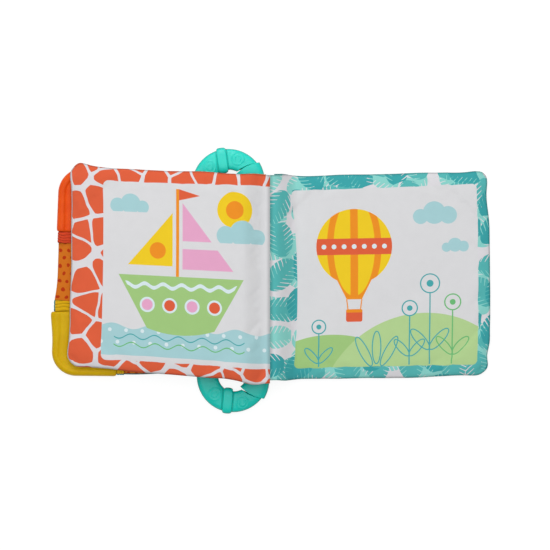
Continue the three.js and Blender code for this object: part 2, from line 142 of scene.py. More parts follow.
class Leaf:
    """One padded leaf. Its ends are the distances from the middle at the spine and at the outer edge, how
    far the edge bows out, how far it reaches from the fold and the radius of its outer corner."""

    def __init__(self, name, side, top, bottom, reach_bow, crown, dome, roll):
        self.name, self.side, self.reach_bow = name, side, reach_bow
        self.crown, self.dome, self.roll = crown, dome, roll
        keys = ("spine", "outer", "bow", "reach", "corner")
        self.top, self.bottom = dict(zip(keys, top)), dict(zip(keys, bottom))
        self.width = (self.top["reach"] + self.bottom["reach"]) / 2 - SPINE_HALF
        self.height = self.top["outer"] + self.bottom["outer"]
        self.fullness = 2.0 if name == "cover" else 2.5
        self.soft_top, self.soft_bottom, self.soft_side = [], [], []

    def place(self, u, v, upper=True):
        """The place in plan of a point u out from the spine edge and v up from the lower edge."""
        s, t = u / self.width, v / self.height
        reach = mix(self.bottom["reach"], self.top["reach"], t) + hump(t, self.reach_bow)
        low = -mix(self.bottom["spine"], self.bottom["outer"], s)
        high = mix(self.top["spine"], self.top["outer"], s)
        from_low, from_high = near_edge(v), near_edge(self.height - v)
        y = mix(low, high, t) + hump(s, self.top["bow"]) * from_high - hump(s, self.bottom["bow"]) * from_low
        x = mix(SPINE_HALF, reach, s)
        for middle, width, amount, panel in self.soft_top:
            y = y + amount * bell(u, middle, width) * from_high * (panel is None or panel == upper)
        for middle, width, amount, panel in self.soft_bottom:
            y = y - amount * bell(u, middle, width) * from_low * (panel is None or panel == upper)
        for middle, width, amount in self.soft_side:
            x = x + amount * bell(v, middle, width) * near_edge(self.width - u)
        return x, y

    def middle(self, x):
        """Height of the middle of the leaf that far from the fold."""
        cover = COVER_AT_FOLD - COVER_SLOPE * x
        swell = smooth((x - SPINE_HALF) / SPINE_ROLL)
        if self.name == "cover":
            return cover
        if self.name == "page":
            over = mix(PAGE_OVER_COVER, PAGE_OVER_TEETHER, clamp(x / (COVER.top["reach"] - TEETHER["leg"])))
            return cover + mix(2 * SPINE_EDGE + LEAF_GAP, over, swell)
        return mix(FOLD_HEIGHT - SPINE_EDGE - LEAF_GAP, self.crown / 2, swell)

    def body(self, u, v):
        """How far the leaf has swelled from its seams, from 0 to 1."""
        rises = [rounded(d / self.roll, self.fullness) for d in (self.width - u, v, self.height - v)]
        return rises[0] * rises[1] * rises[2]

    def half(self, u, v, x, seam):
        """Half the thickness of the leaf, which thins out to its seam."""
        swell = smooth((x - SPINE_HALF) / SPINE_ROLL)
        rim = mix(SPINE_EDGE, seam, swell)
        return rim + (self.crown / 2 - rim) * self.body(u, v) * swell

    def cornered(self, u, v):
        """Takes the square corners of the flat leaf onto its round outer corners."""
        outer, upper = u > self.width / 2, v > self.height / 2
        du = np.where(outer, self.width - u, u)
        dv = np.where(upper, self.height - v, v)
        corner = np.where(upper, self.top["corner"], self.bottom["corner"])
        radius = np.where(outer, corner, 0.01)
        inside = (du < radius) & (dv < radius)
        a, b = np.where(inside, radius - du, 1), np.where(inside, radius - dv, 1)
        scale = np.maximum(a, b) / np.hypot(a, b)
        du = np.where(inside, radius - a * scale, du)
        dv = np.where(inside, radius - b * scale, dv)
        return np.where(outer, self.width - du, du), np.where(upper, self.height - dv, dv)


COVER = Leaf(
    "cover", -1, (84.2, 88.4, -0.6, COVER_REACH["top"], 19.7),
    (78.4, 75.2, -1.4, COVER_REACH["bottom"], 18.2), 0, COVER_CROWN, 0, 24,
)
PAGE = Leaf(
    "page", -1, (83.8, 92.8, -1.2, REACH - 15.3, 8),
    (81.8, 68.1, 0.4, REACH - 12.6, 8), -1.4, PAGE_CROWN, 0.8, 18,
)
BACK = Leaf(
    "back", 1, (83.9, 86.7, -0.3, REACH - 0.6, 6),
    (80.3, 76.4, 0.2, REACH, 8.5), 2.0, PAGE_CROWN, 0.8, 18,
)
# The page lies on the orange teether's bulb, which is highest at that share of the teether's width.
BULB_SHARE = 0.29
BULB_DEPTH = PAGE.top["outer"] - COVER.top["outer"] - TEETHER["wall"] + BULB_SHARE * TEETHER["width"]
PAGE_AT_BULB = mix(SPINE_EDGE, PAGE_CROWN / 2, rounded(BULB_DEPTH / PAGE.roll))
PAGE_OVER_TEETHER = TEETHER["height"] / 2 + LEAF_GAP + PAGE_AT_BULB
# Soft places in the edges: where along the edge, over what width, how far out and of which cloth
COVER.soft_bottom, COVER.soft_side = [(104, 24, 1.3, False)], [(56, 11, 1.4)]
PAGE.soft_top = [(118, 24, -0.6, None), (52, 24, 0.8, None), (150, 6, 0.9, None)]
PAGE.soft_bottom = [(11, 13, 2.2, None), (92, 34, 0.7, None)]
BACK.soft_top = [(2, 9, 1.3, False), (30, 26, -0.8, None), (120, 30, 0.2, None)]
BACK.soft_bottom = [(98, 26, 0.9, None), (167, 8, -0.7, None)]
BACK.soft_side = [(147, 14, -1.1), (70, 40, 0.6), (27, 8.5, 0.95), (14, 8, -1.3)]


# Meshes

# The map of the flat cloth: the millimetres that it spans, and those left free at its left and lower side
MAP_SIZE, MAP_EDGE = 200.0, 10.0


def signed_volume(points, faces):
    """Six times the volume inside a closed mesh, below zero where its faces point inwards."""
    total = 0.0
    for k in (1, 2):
        corners = np.array([(face[0], face[k], face[k + 1]) for face in faces if len(face) > k + 1])
        a, b, c = (points[corners[:, side]] for side in range(3))
        total += (a * np.cross(b, c)).sum()
    return total


def make_piece(name, points, faces, finish, body, stands_for=(), flat=None, sharp=50, marks=None):
    """A closed mesh in metres from points in millimetres, which rides on a body of the book. flat is the
    place of each point on the flat cloth, and marks are named numbers that its finish reads."""
    points = np.asarray(points, float)
    if signed_volume(points, faces) < 0:
        faces = [face[::-1] for face in faces]
    mesh = bpy.data.meshes.new(name)
    mesh.from_pydata((points * MM).tolist(), [], faces)
    mesh.materials.append(finish)
    mesh.shade_smooth()
    mesh.set_sharp_from_angle(angle=math.radians(sharp))
    if flat is not None:
        layer = mesh.uv_layers.new(name="flat_cloth")
        corners = np.empty(len(mesh.loops), np.int32)
        mesh.loops.foreach_get("vertex_index", corners)
        layer.uv.foreach_set("vector", (np.asarray(flat)[corners] + MAP_EDGE).ravel() / MAP_SIZE)
    for mark, values in (marks or {}).items():
        mesh.attributes.new(mark, "FLOAT", "POINT").data.foreach_set("value", np.asarray(values, np.float32))
    piece = bpy.data.objects.new(name, mesh)
    bpy.context.scene.collection.objects.link(piece)
    return dress(piece, body, stands_for)


def dress(piece, body, stands_for=()):
    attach(piece, body)
    if stands_for:
        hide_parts(*stands_for)
    return piece


def grid_faces(rows, columns, start=0, closed=False):
    """Quads between the rows of a grid of points, which may close round on itself across the columns."""
    across = columns if closed else columns - 1
    i, j = np.meshgrid(np.arange(rows - 1), np.arange(across), indexing="ij")
    after = (j + 1) % columns
    row, next_row = i * columns, (i + 1) * columns
    quads = np.stack([row + j, next_row + j, next_row + after, row + after], -1)
    return (quads.reshape(-1, 4) + start).tolist()


def shell_faces(rows, columns):
    """A closed shell of two grids, the second after the first, joined round their rim."""
    count = rows * columns
    upper = grid_faces(rows, columns)
    lower = [face[::-1] for face in grid_faces(rows, columns, count)]
    at = np.arange(count).reshape(rows, columns)
    rim = np.concatenate([at[:-1, 0], at[-1, :-1], at[:0:-1, -1], at[0, :0:-1]])
    sides = [[a, b, b + count, a + count] for a, b in zip(rim.tolist(), np.roll(rim, -1).tolist())]
    return upper + lower + [side[::-1] for side in sides]


def tube(rings, caps=True):
    """Points and faces of a tube through rings of points, closed on itself or capped at its ends."""
    rings = np.asarray(rings, float)
    count, sides = rings.shape[:2]
    if caps:
        faces = grid_faces(count, sides, closed=True)
        faces += [list(range(sides)), list(range(count * sides - 1, (count - 1) * sides - 1, -1))]
        return rings.reshape(-1, 3), faces
    faces = grid_faces(count + 1, sides, closed=True)
    return rings.reshape(-1, 3), [[k % (count * sides) for k in face] for face in faces]


def curve_through(points, steps):
    """A smooth curve through points, with that many steps between two of them."""
    points = np.asarray(points, float)
    ends = np.concatenate([[2 * points[0] - points[1]], points, [2 * points[-1] - points[-2]]])
    t = np.linspace(0, 1, steps, endpoint=False)[:, None]
    runs = []
    for a, b, c, d in zip(ends, ends[1:], ends[2:], ends[3:]):
        square, cube = 2 * a - 5 * b + 4 * c - d, 3 * b - a - 3 * c + d
        runs.append(0.5 * (2 * b + (c - a) * t + square * t**2 + cube * t**3))
    return np.concatenate([*runs, points[-1:]])


# Finishes


class Value:
    """A number or vector that varies over a surface, which Python's operators turn into nodes."""

    def __init__(self, finish, socket):
        self.finish, self.socket = finish, socket

    def __add__(self, other):
        return self.finish.maths("ADD", self, other)

    def __sub__(self, other):
        return self.finish.maths("SUBTRACT", self, other)

    def __rsub__(self, other):
        return self.finish.maths("SUBTRACT", other, self)

    def __mul__(self, other):
        return self.finish.maths("MULTIPLY", self, other)

    def __truediv__(self, other):
        return self.finish.maths("DIVIDE", self, other)

    def __abs__(self):
        return self.finish.maths("ABSOLUTE", self)

    def __or__(self, other):
        return self.finish.maths("MINIMUM", self, other)

    def __and__(self, other):
        return self.finish.maths("MAXIMUM", self, other)

    def sine(self):
        return self.finish.maths("SINE", self)

    def fraction(self):
        return self.finish.maths("FRACT", self)

    def floor(self):
        return self.finish.maths("FLOOR", self)

    def outside(self):
        """Turns a shape into what it leaves free."""
        return self * -1.0

    def output(self, name):
        """Another output of the same node."""
        return Value(self.finish, self.socket.node.outputs[name])

    __radd__ = __add__
    __rmul__ = __mul__


class Finish:
    """A material under construction. It ends in one Principled shader."""

    def __init__(self, name, settings=None):
        self.material = bpy.data.materials.new(name)
        self.material.use_nodes = True
        self.tree = self.material.node_tree
        self.tree.nodes.clear()
        self.shader = self.tree.nodes.new("ShaderNodeBsdfPrincipled")
        output = self.tree.nodes.new("ShaderNodeOutputMaterial")
        self.tree.links.new(self.shader.outputs["BSDF"], output.inputs["Surface"])
        for key, value in (settings or {}).items():
            self.put(self.shader.inputs[key], value)

    def put(self, socket, value):
        if isinstance(value, Value):
            self.tree.links.new(value.socket, socket)
        elif isinstance(value, tuple) and socket.type == "RGBA":
            socket.default_value = (*value[:3], 1)
        else:
            socket.default_value = value

    def node(self, kind, settings, inputs, output=0):
        made = self.tree.nodes.new(kind)
        for key, value in settings.items():
            setattr(made, key, value)
        sockets = {s.identifier: s for s in made.inputs}
        for key, value in inputs.items():
            self.put(sockets[key], value)
        by_identifier = {s.identifier: s for s in made.outputs}
        return Value(self, by_identifier[output] if isinstance(output, str) else made.outputs[output])

    def maths(self, operation, *values):
        keys = ("Value", "Value_001", "Value_002")
        return self.node("ShaderNodeMath", {"operation": operation}, dict(zip(keys, values)))

    def vector(self, operation, *values):
        keys = ("Vector", "Vector_001", "Vector_002")
        number = operation in ("LENGTH", "DISTANCE", "DOT_PRODUCT")
        made = dict(zip(keys, values))
        output = "Value" if number else "Vector"
        return self.node("ShaderNodeVectorMath", {"operation": operation}, made, output)

    def split(self, vector):
        x = self.node("ShaderNodeSeparateXYZ", {}, {"Vector": vector})
        return x, x.output("Y")

    def mix(self, factor, a, b, blend="MIX"):
        settings = {"data_type": "RGBA", "blend_type": blend}
        inputs = {"Factor_Float": factor, "A_Color": a, "B_Color": b}
        return self.node("ShaderNodeMix", settings, inputs, "Result_Color")

    def ramp(self, value, low, high, a=0.0, b=1.0, smoothly=True):
        settings = {"interpolation_type": "SMOOTHSTEP" if smoothly else "LINEAR"}
        inputs = {"Value": value, "From Min": low, "From Max": high, "To Min": a, "To Max": b}
        return self.node("ShaderNodeMapRange", settings, inputs)

    def ink(self, shape, soft=0.15):
        """1 inside a shape, whose value is below zero there, and 0 outside it."""
        return self.ramp(shape, -soft, soft, 1.0, 0.0)

    def noise(self, place, scale, detail=2.0, roughness=0.5):
        inputs = {"Vector": place, "Scale": scale, "Detail": detail, "Roughness": roughness}
        return self.node("ShaderNodeTexNoise", {}, inputs)

    def on_cloth(self, shift=(0.0, 0.0), mirrored=False):
        """The place on the flat cloth in millimetres, from the spine edge and the lower edge."""
        uv = self.node("ShaderNodeUVMap", {"uv_map": "flat_cloth"}, {})
        side = -1 if mirrored else 1
        scale = (MAP_SIZE * side, MAP_SIZE, 0.0)
        move = (shift[0] - MAP_EDGE * side, shift[1] - MAP_EDGE, 0.0)
        return self.vector("MULTIPLY_ADD", uv, scale, move)

    def in_space(self):
        """The place in the piece in millimetres."""
        place = self.node("ShaderNodeTexCoord", {}, {}, "Object")
        return self.vector("MULTIPLY", place, (1 / MM, 1 / MM, 1 / MM))

    def mark(self, name):
        """A number that the mesh holds at each point."""
        return self.node("ShaderNodeAttribute", {"attribute_name": name}, {}, "Fac")

    def relief(self, height, strength, depth):
        inputs = {"Height": height, "Strength": strength, "Distance": depth * MM}
        self.put(self.shader.inputs["Normal"], self.node("ShaderNodeBump", {}, inputs))

    def colour(self, value):
        self.put(self.shader.inputs["Base Color"], value)

    def roughness(self, value):
        self.put(self.shader.inputs["Roughness"], value)


class Drawing:
    """Shapes drawn on flat cloth. Each is a value below zero inside the shape."""

    def __init__(self, finish, place):
        self.finish, self.place = finish, place
        self.x, self.y = finish.split(place)

    def disc(self, x, y, radius):
        return self.finish.vector("DISTANCE", self.place, (x, y, 0.0)) - radius

    def side(self, a, b):
        """Everything to the left of the line from a to b."""
        dx, dy = b[0] - a[0], b[1] - a[1]
        length = math.hypot(dx, dy)
        nx, ny = dy / length, -dx / length
        return self.finish.vector("DOT_PRODUCT", self.place, (nx, ny, 0.0)) - (nx * a[0] + ny * a[1])

    def polygon(self, *corners):
        """A convex outline whose corners run counter-clockwise."""
        shape = self.side(corners[-1], corners[0])
        for a, b in zip(corners, corners[1:]):
            shape = shape & self.side(a, b)
        return shape

    def oval(self, x, y, width, height, turn=0.0):
        place = self.place
        if turn:
            inputs = {"Vector": place, "Center": (x, y, 0.0), "Angle": -math.radians(turn)}
            place = self.finish.node("ShaderNodeVectorRotate", {"rotation_type": "Z_AXIS"}, inputs)
        scale, move = (1 / width, 1 / height, 0.0), (-x / width, -y / height, 0.0)
        near = self.finish.vector("MULTIPLY_ADD", place, scale, move)
        far = self.finish.vector("LENGTH", near)
        return far * (far - 1.0) / self.finish.vector("LENGTH", self.finish.vector("MULTIPLY", near, scale))

    def box(self, x0, y0, x1, y1, radius):
        middle = ((x0 + x1) / 2, (y0 + y1) / 2, 0.0)
        half = ((x1 - x0) / 2 - radius, (y1 - y0) / 2 - radius, 1.0)
        away = self.finish.vector("ABSOLUTE", self.finish.vector("SUBTRACT", self.place, middle))
        over = self.finish.vector("MAXIMUM", self.finish.vector("SUBTRACT", away, half), (0.0, 0.0, 0.0))
        return self.finish.vector("LENGTH", over) - radius

    def strip(self, a, b, half):
        """A line of that half width from a to b."""
        dx, dy = b[0] - a[0], b[1] - a[1]
        length = math.hypot(dx, dy)
        nx, ny = -dy / length * half, dx / length * half
        corners = [(x + side * nx, y + side * ny) for (x, y), side in ((a, 1), (a, -1), (b, -1), (b, 1))]
        return self.polygon(*corners)

    def dots(self, pitch, radius, rise):
        """Dots in staggered rows, with that pitch along a row and that rise between two."""
        row = self.y / rise
        line = row.floor()
        x = (self.x / pitch + line * 0.5).fraction() - 0.5
        y = row.fraction() - 0.5
        near = self.finish.node("ShaderNodeCombineXYZ", {}, {"X": x * pitch, "Y": y * rise})
        return self.finish.vector("LENGTH", near) - radius


class Picture(Drawing):
    """A drawing whose shapes are laid over each other on a ground, in flat colours."""

    def __init__(self, finish, place, ground):
        super().__init__(finish, place)
        self.colour = tuple(ground)

    def lay(self, shape, colour, soft=0.15):
        self.colour = self.finish.mix(self.finish.ink(shape, soft), self.colour, tuple(colour))


def cloth_look(finish, place, colour, nap=1.0, tone=0.05, shade=1.0):
    """Lays a brushed nap and a fine weave over a coloured cloth, darker where its shade is less than 1."""
    x, y = finish.split(place)
    thread = 0.5
    fibre = finish.noise(place, 1.3, 4.0, 0.65)
    cloud = finish.noise(place, 0.12, 2.0)
    weave = (x * (2 * math.pi / thread)).sine() * (y * (2 * math.pi / thread)).sine()
    finish.relief(fibre * (0.8 * nap) + weave * 0.12, 0.35, 0.25)
    finish.colour(finish.mix(1.0, colour, (fibre * tone + cloud * tone + (1.0 - tone)) * shade, "MULTIPLY"))
    finish.roughness(fibre * 0.12 + 0.78)
    return finish.material


WOVEN = {"Sheen Weight": 0.02, "Sheen Roughness": 0.5, "Specular IOR Level": 0.12}


def painted_seam_shade(finish, leaf):
    """Painted shade where the cloth of a leaf turns down to its outer seam, and a painted shadow at the
    fold.
    """
    u, v = finish.split(finish.on_cloth())
    # Painted shade: the cloth darkens over the last 1.8 mm to its outer seam, where it turns away from the
    # light
    outer = finish.ramp((leaf.width - u) | v | (leaf.height - v), 0.0, 1.8, 0.62, 1.0)
    # Painted shadow: darker in the fold
    return outer * finish.ramp(u, -3.0, 0.5, 0.68, 1.0)


def left_page_finish(colours):
    """Boat, sun and clouds on a white panel, in a border of round-cornered patches."""
    finish = Finish("print_sailing_boat", WOVEN)
    x, y = finish.split(finish.on_cloth((PAGE.width - 26.2, -7.4), mirrored=True))
    place = finish.node("ShaderNodeCombineXYZ", {}, {"X": x, "Y": y - x * 0.022})
    art = Picture(finish, place, colours.white)
    # Sun behind a cloud, and a smaller cloud
    art.lay(art.disc(106, 122, 14), colours.yellow)
    art.lay(art.disc(106, 122, 7), colours.orange)
    for x, y, size in ((112, 104, 1.0), (22, 124, 0.8)):
        cloud = art.disc(x, y, 10 * size) | art.disc(x - 13 * size, y - 2 * size, 7.5 * size)
        cloud = cloud | art.disc(x + 12 * size, y - 3 * size, 6.5 * size)
        art.lay(cloud & (y - 8 * size - art.y), colours.sky)
    # Sea with foam, in front of which the hull stands
    swell = (art.x * 0.19).sine() * 2.2 + 27.0
    sea = art.y - swell
    art.lay(sea & (4.0 - art.y), colours.sky)
    art.lay(art.dots(13, 1.5, 9.5) & sea & (7.0 - art.y), colours.foam)
    # Mast, sails and a pennant
    art.lay(art.strip((60, 66), (60, 137), 1.2), colours.orange)
    art.lay(art.polygon((64, 74), (105, 74), (64, 126)), colours.pink)
    art.lay(art.polygon((64, 90), (92.5, 90), (87.5, 96.2), (64, 96.2)), colours.white)
    art.lay(art.polygon((20, 76), (56, 76), (56, 118)), colours.yellow)
    art.lay(art.disc(44, 88, 6.5), colours.orange)
    art.lay(art.polygon((61.2, 128), (78, 132), (61.2, 137)), colours.coral)
    # Hull with a wavy stripe and portholes
    away = abs(art.x - 63.0)
    hull = (away * 0.87 - art.y * 0.49 - 10.5) & (art.y - 68.0) & (19.0 - art.y)
    hull = hull & art.oval(63, 68, 62, 46)
    art.lay(hull, colours.green)
    stripe = abs(art.y - (art.x * 0.42).sine() * 1.6 - 60.0) - 1.5
    art.lay(stripe & (hull + 2.2), colours.foam)
    for x, colour in ((36, colours.pink), (54, colours.coral), (72, colours.pink), (90, colours.coral)):
        art.lay(art.disc(x, 45, 6.0), colours.foam)
        art.lay(art.disc(x, 45, 4.4), colour)
    # Drawn lines of waves
    for y, colour in ((19.0, colours.teal_line), (12.5, colours.green_line)):
        wave = abs(art.y - (art.x * 0.33 + y).sine() * 1.9 - y) - 0.45
        art.lay(wave & (abs(art.x - 62.0) - 52.0), colour, 0.12)
    # Border patches inside a pale hem, with the panel laid over them
    pitch = 20.0
    cells = {"voronoi_dimensions": "2D", "feature": "DISTANCE_TO_EDGE"}
    near = finish.noise(place, 0.05, 1.0).output("Color")
    bent = finish.vector("MULTIPLY_ADD", near, (6.0, 6.0, 0.0), place)
    inputs = {"Vector": bent, "Scale": 1 / pitch, "Randomness": 0.68}
    gap = finish.node("ShaderNodeTexVoronoi", cells, inputs, "Distance")
    spot = finish.node("ShaderNodeTexVoronoi", {"voronoi_dimensions": "2D"}, inputs, "Distance")
    patch = finish.maths("POWER", spot, 8.0) * 3.5 - gap + 0.047
    patch = (patch * pitch) & (-25.5 - art.x)
    border = finish.mix(finish.ink(patch, 0.22), tuple(colours.page_edge), tuple(colours.coral))
    panel = art.box(0, 0, 170, 141.5, 4.0)
    printed = finish.mix(finish.ink(panel), border, art.colour)
    # The printed cloth is darkened by painted shade at its seams and a painted shadow at the fold
    return cloth_look(finish, place, printed, shade=painted_seam_shade(finish, PAGE))


def leaf_layer(finish, place, pitch, shift, keep, colour, under):
    """Scatters jungle leaves, with slits in from their edges, over what lies under them. keep is the share
    of them that is there."""
    moved = finish.vector("MULTIPLY_ADD", place, (1 / pitch, 1 / pitch, 0.0), (shift, shift * 0.37, 0.0))
    inputs = {"Vector": moved, "Scale": 1.0, "Randomness": 0.55}
    cell = finish.node("ShaderNodeTexVoronoi", {"voronoi_dimensions": "2D"}, inputs)
    turn, pick = finish.split(cell.output("Color"))
    local = finish.vector("SUBTRACT", moved, cell.output("Position"))
    inputs = {"Vector": local, "Center": (0.0, 0.0, 0.0), "Angle": turn * (4 * math.pi)}
    along, across = finish.split(finish.node("ShaderNodeVectorRotate", {"rotation_type": "Z_AXIS"}, inputs))
    along, across = along * pitch, abs(across) * pitch
    share = along / (pitch * 0.56)
    rise = finish.maths("POWER", (1.0 - share * share) & 0.0, 0.6)
    leaf = across - rise * (pitch * 0.38)
    period = 3.7
    slit = (((along - across * 0.6) / period).fraction() - across * (0.72 / pitch) - 0.03) * period
    leaf = leaf & (slit & (pitch * 0.1 + pick * 2.0 - across)).outside() & ((pick - keep) * 40.0)
    return finish.mix(finish.ink(leaf, 0.2), under, tuple(colour))


def right_page_finish(colours):
    """A balloon over hills and drawn flowers on a white panel, in a border of jungle leaves."""
    finish = Finish("print_hot_air_balloon", WOVEN)
    place = finish.on_cloth((-15.8, -9.0))
    art = Picture(finish, place, colours.white)
    # Hills
    art.lay(art.disc(30, -66, 92), colours.green)
    art.lay(art.disc(104, -42, 84), colours.light_green)
    # Balloon, its stripes, its dotted belt and its basket
    x, y = 48.0, 96.0
    throat = art.polygon((x - 17, y - 20), (x - 6, y - 42), (x + 6, y - 42), (x + 17, y - 20))
    bag = throat | art.disc(x, y, 30)
    art.lay(bag, colours.yellow)
    art.lay(bag & (abs(art.oval(x, y, 19, 42)) - 2.6), colours.orange)
    art.lay(bag & (abs(art.x - x) - 3.0), colours.orange)
    belt = abs(art.y - y) - 6.5
    art.lay(bag & belt, colours.coral)
    for step in range(-3, 4):
        art.lay(art.disc(x + 8.0 * step, y, 1.9), colours.foam)
    for side in (-1, 1):
        art.lay(art.strip((x + side * 6, y - 42), (x + side * 5, y - 50), 0.45), colours.orange)
    art.lay(art.box(x - 6.5, y - 60, x + 6.5, y - 50, 1.6), colours.coral)
    art.lay(art.box(x - 6.5, y - 52.6, x + 6.5, y - 50, 1.2), colours.orange)
    # Small clouds
    for x, y, size in ((112, 122, 1.0), (128, 96, 0.62)):
        cloud = art.disc(x, y, 9 * size) | art.disc(x - 11 * size, y - 3 * size, 6 * size)
        cloud = cloud | art.disc(x + 11 * size, y - 2 * size, 7 * size)
        art.lay(cloud & (y - 9 * size - art.y), colours.sky)
    # Drawn flowers: a stem, two leaves and a round bloom
    teal, green = colours.teal_line, colours.green_line
    for x, height, size, colour in (
        (92, 40, 1.0, teal), (108, 58, 1.25, teal), (126, 44, 1.05, green), (20, 27, 0.9, teal),
    ):
        art.lay(art.strip((x, 1), (x, height), 0.5), colour, 0.12)
        for side in (-1, 1):
            leaf = art.oval(x + side * 6 * size, height * 0.36, 8.5 * size, 2.9 * size, side * 48)
            art.lay(abs(leaf) - 0.45, colour, 0.12)
        art.lay(art.disc(x, height + 6 * size, 6 * size + 0.5), colour, 0.12)
        art.lay(art.disc(x, height + 6 * size, 6 * size - 0.5), colours.white, 0.12)
        art.lay(art.disc(x, height + 6 * size, 2.2 * size), colour, 0.12)
    for x, y, turn in ((56, 12, 28), (66, 15, 0), (76, 12, -28)):
        art.lay(abs(art.oval(x, y, 3.4, 13.0, turn)) - 0.45, teal, 0.12)
    # Border leaves, dark ones mostly, but every other one on the flap beside the fold
    keep = finish.ramp(art.x, -4.0, 6.0, 0.32, 0.84)
    leaves = colours.page_edge[:]
    for pitch, shift, share, colour in (
        (24.0, 3.1, 1.0, colours.aqua),
        (27.0, 11.6, keep, colours.leaf),
        (25.0, 37.9, keep * 0.8, colours.leaf_deep),
    ):
        leaves = leaf_layer(finish, place, pitch, shift, share, colour, leaves)
    bulge = finish.maths("POWER", abs(art.y - 60.0) / 80.0, 2.0) * 4.6 - 3.0
    bulge = bulge * finish.ramp(art.x, 0.0, 60.0, 1.0, 0.0)
    inputs = {"X": art.x + bulge, "Y": art.y - art.x * art.y * 0.00014}
    panel = Drawing(finish, finish.node("ShaderNodeCombineXYZ", {}, inputs)).box(0, 0, 146.2, 141.2, 4.0)
    printed = finish.mix(finish.ink(panel), leaves, art.colour)
    # The printed cloth is darkened by painted shade at its seams and a painted shadow at the fold
    return cloth_look(finish, place, printed, shade=painted_seam_shade(finish, BACK))


def dotted_finish(colours):
    """Rows of dots on cloth that is pulled a little out of true."""
    finish = Finish("cloth_orange_dotted", WOVEN)
    place = finish.on_cloth((-3.6, 2.1))
    near = finish.noise(place, 0.15, 1.0).output("Color")
    art = Drawing(finish, finish.vector("MULTIPLY_ADD", near, (2.4, 2.4, 0.0), place))
    dots = finish.ink(art.dots(6.4, 1.5, 6.2), 0.2)
    return cloth_look(finish, place, finish.mix(dots, tuple(colours.dotted), tuple(colours.dots)))


def plain_cloth_finish(name, colour, flat=False, nap=1.0):
    finish = Finish(name, WOVEN)
    place = finish.on_cloth() if flat else finish.in_space()
    return cloth_look(finish, place, tuple(colour), nap, 0.08)


def gathered_finish(name, colour, depth, hem):
    """Gathered cloth with painted shade in its folds. A hem colour shows along its outer face."""
    finish = Finish(name, WOVEN)
    cloth = tuple(colour)
    if hem:
        cloth = finish.mix(finish.ramp(finish.mark("depth"), 0.9, 1.4), tuple(hem), cloth)
    # Painted shade: darker where the cloth sinks into a fold, read from the swell mark
    shade = finish.ramp(finish.mark("swell"), -1.15 * depth, -0.35 * depth, 0.45, 1.0)
    return cloth_look(finish, finish.in_space(), cloth, 1.0, 0.08, shade)


def silicone_finish(name, colour, deep):
    """Soft moulded silicone, deeper in tone where it is thick."""
    finish = Finish(name, {"Subsurface Weight": 0.08, "Subsurface Scale": 0.003, "Specular IOR Level": 0.13})
    place = finish.in_space()
    cloud = finish.noise(place, 0.09, 2.0)
    grain = finish.noise(place, 2.2, 3.0)
    finish.colour(finish.mix(cloud, tuple(colour), tuple(deep)))
    finish.roughness(grain * 0.12 + 0.38)
    finish.relief(grain, 0.08, 0.08)
    return finish.material


def plastic_finish(name, colour):
    """Glossy moulded plastic with faint flow marks, and painted shade down its sides and in its grooves from
    the mesh's shade mark.
    """
    finish = Finish(name, {"Specular IOR Level": 0.38, "Subsurface Weight": 0.06, "Subsurface Scale": 0.003})
    place = finish.in_space()
    flow = finish.noise(finish.vector("MULTIPLY", place, (0.05, 0.11, 0.2)), 1.0, 2.0)
    grain = finish.noise(place, 1.6, 2.0)
    # The flow marks are the plastic's own; the shade mark is painted shade
    shade = (flow * 0.16 + 0.9) * finish.mark("shade")
    finish.colour(finish.mix(1.0, tuple(colour), shade, "MULTIPLY"))
    finish.roughness(grain * 0.1 + 0.27)
    finish.relief(grain, 0.04, 0.06)
    return finish.material


def film_finish():
    """Clear crinkle film."""
    finish = Finish("film_clear", {"Alpha": 0.55, "IOR": 1.5})
    creases = finish.noise(finish.on_cloth(), 0.35, 3.0)
    finish.colour(finish.mix(creases, (0.62, 0.7, 0.76), (0.85, 0.9, 0.93)))
    finish.roughness(creases * 0.2 + 0.12)
    return finish.material


def batting_finish():
    finish = Finish("batting_white", {"Sheen Weight": 0.3})
    place = finish.in_space()
    tufts = finish.noise(place, 0.5, 5.0, 0.7)
    finish.colour(finish.mix(tufts, (0.74, 0.74, 0.72), (0.9, 0.9, 0.88)))
    finish.roughness(tufts * 0.08 + 0.9)
    finish.relief(tufts, 0.6, 0.8)
    return finish.material


# Leaves


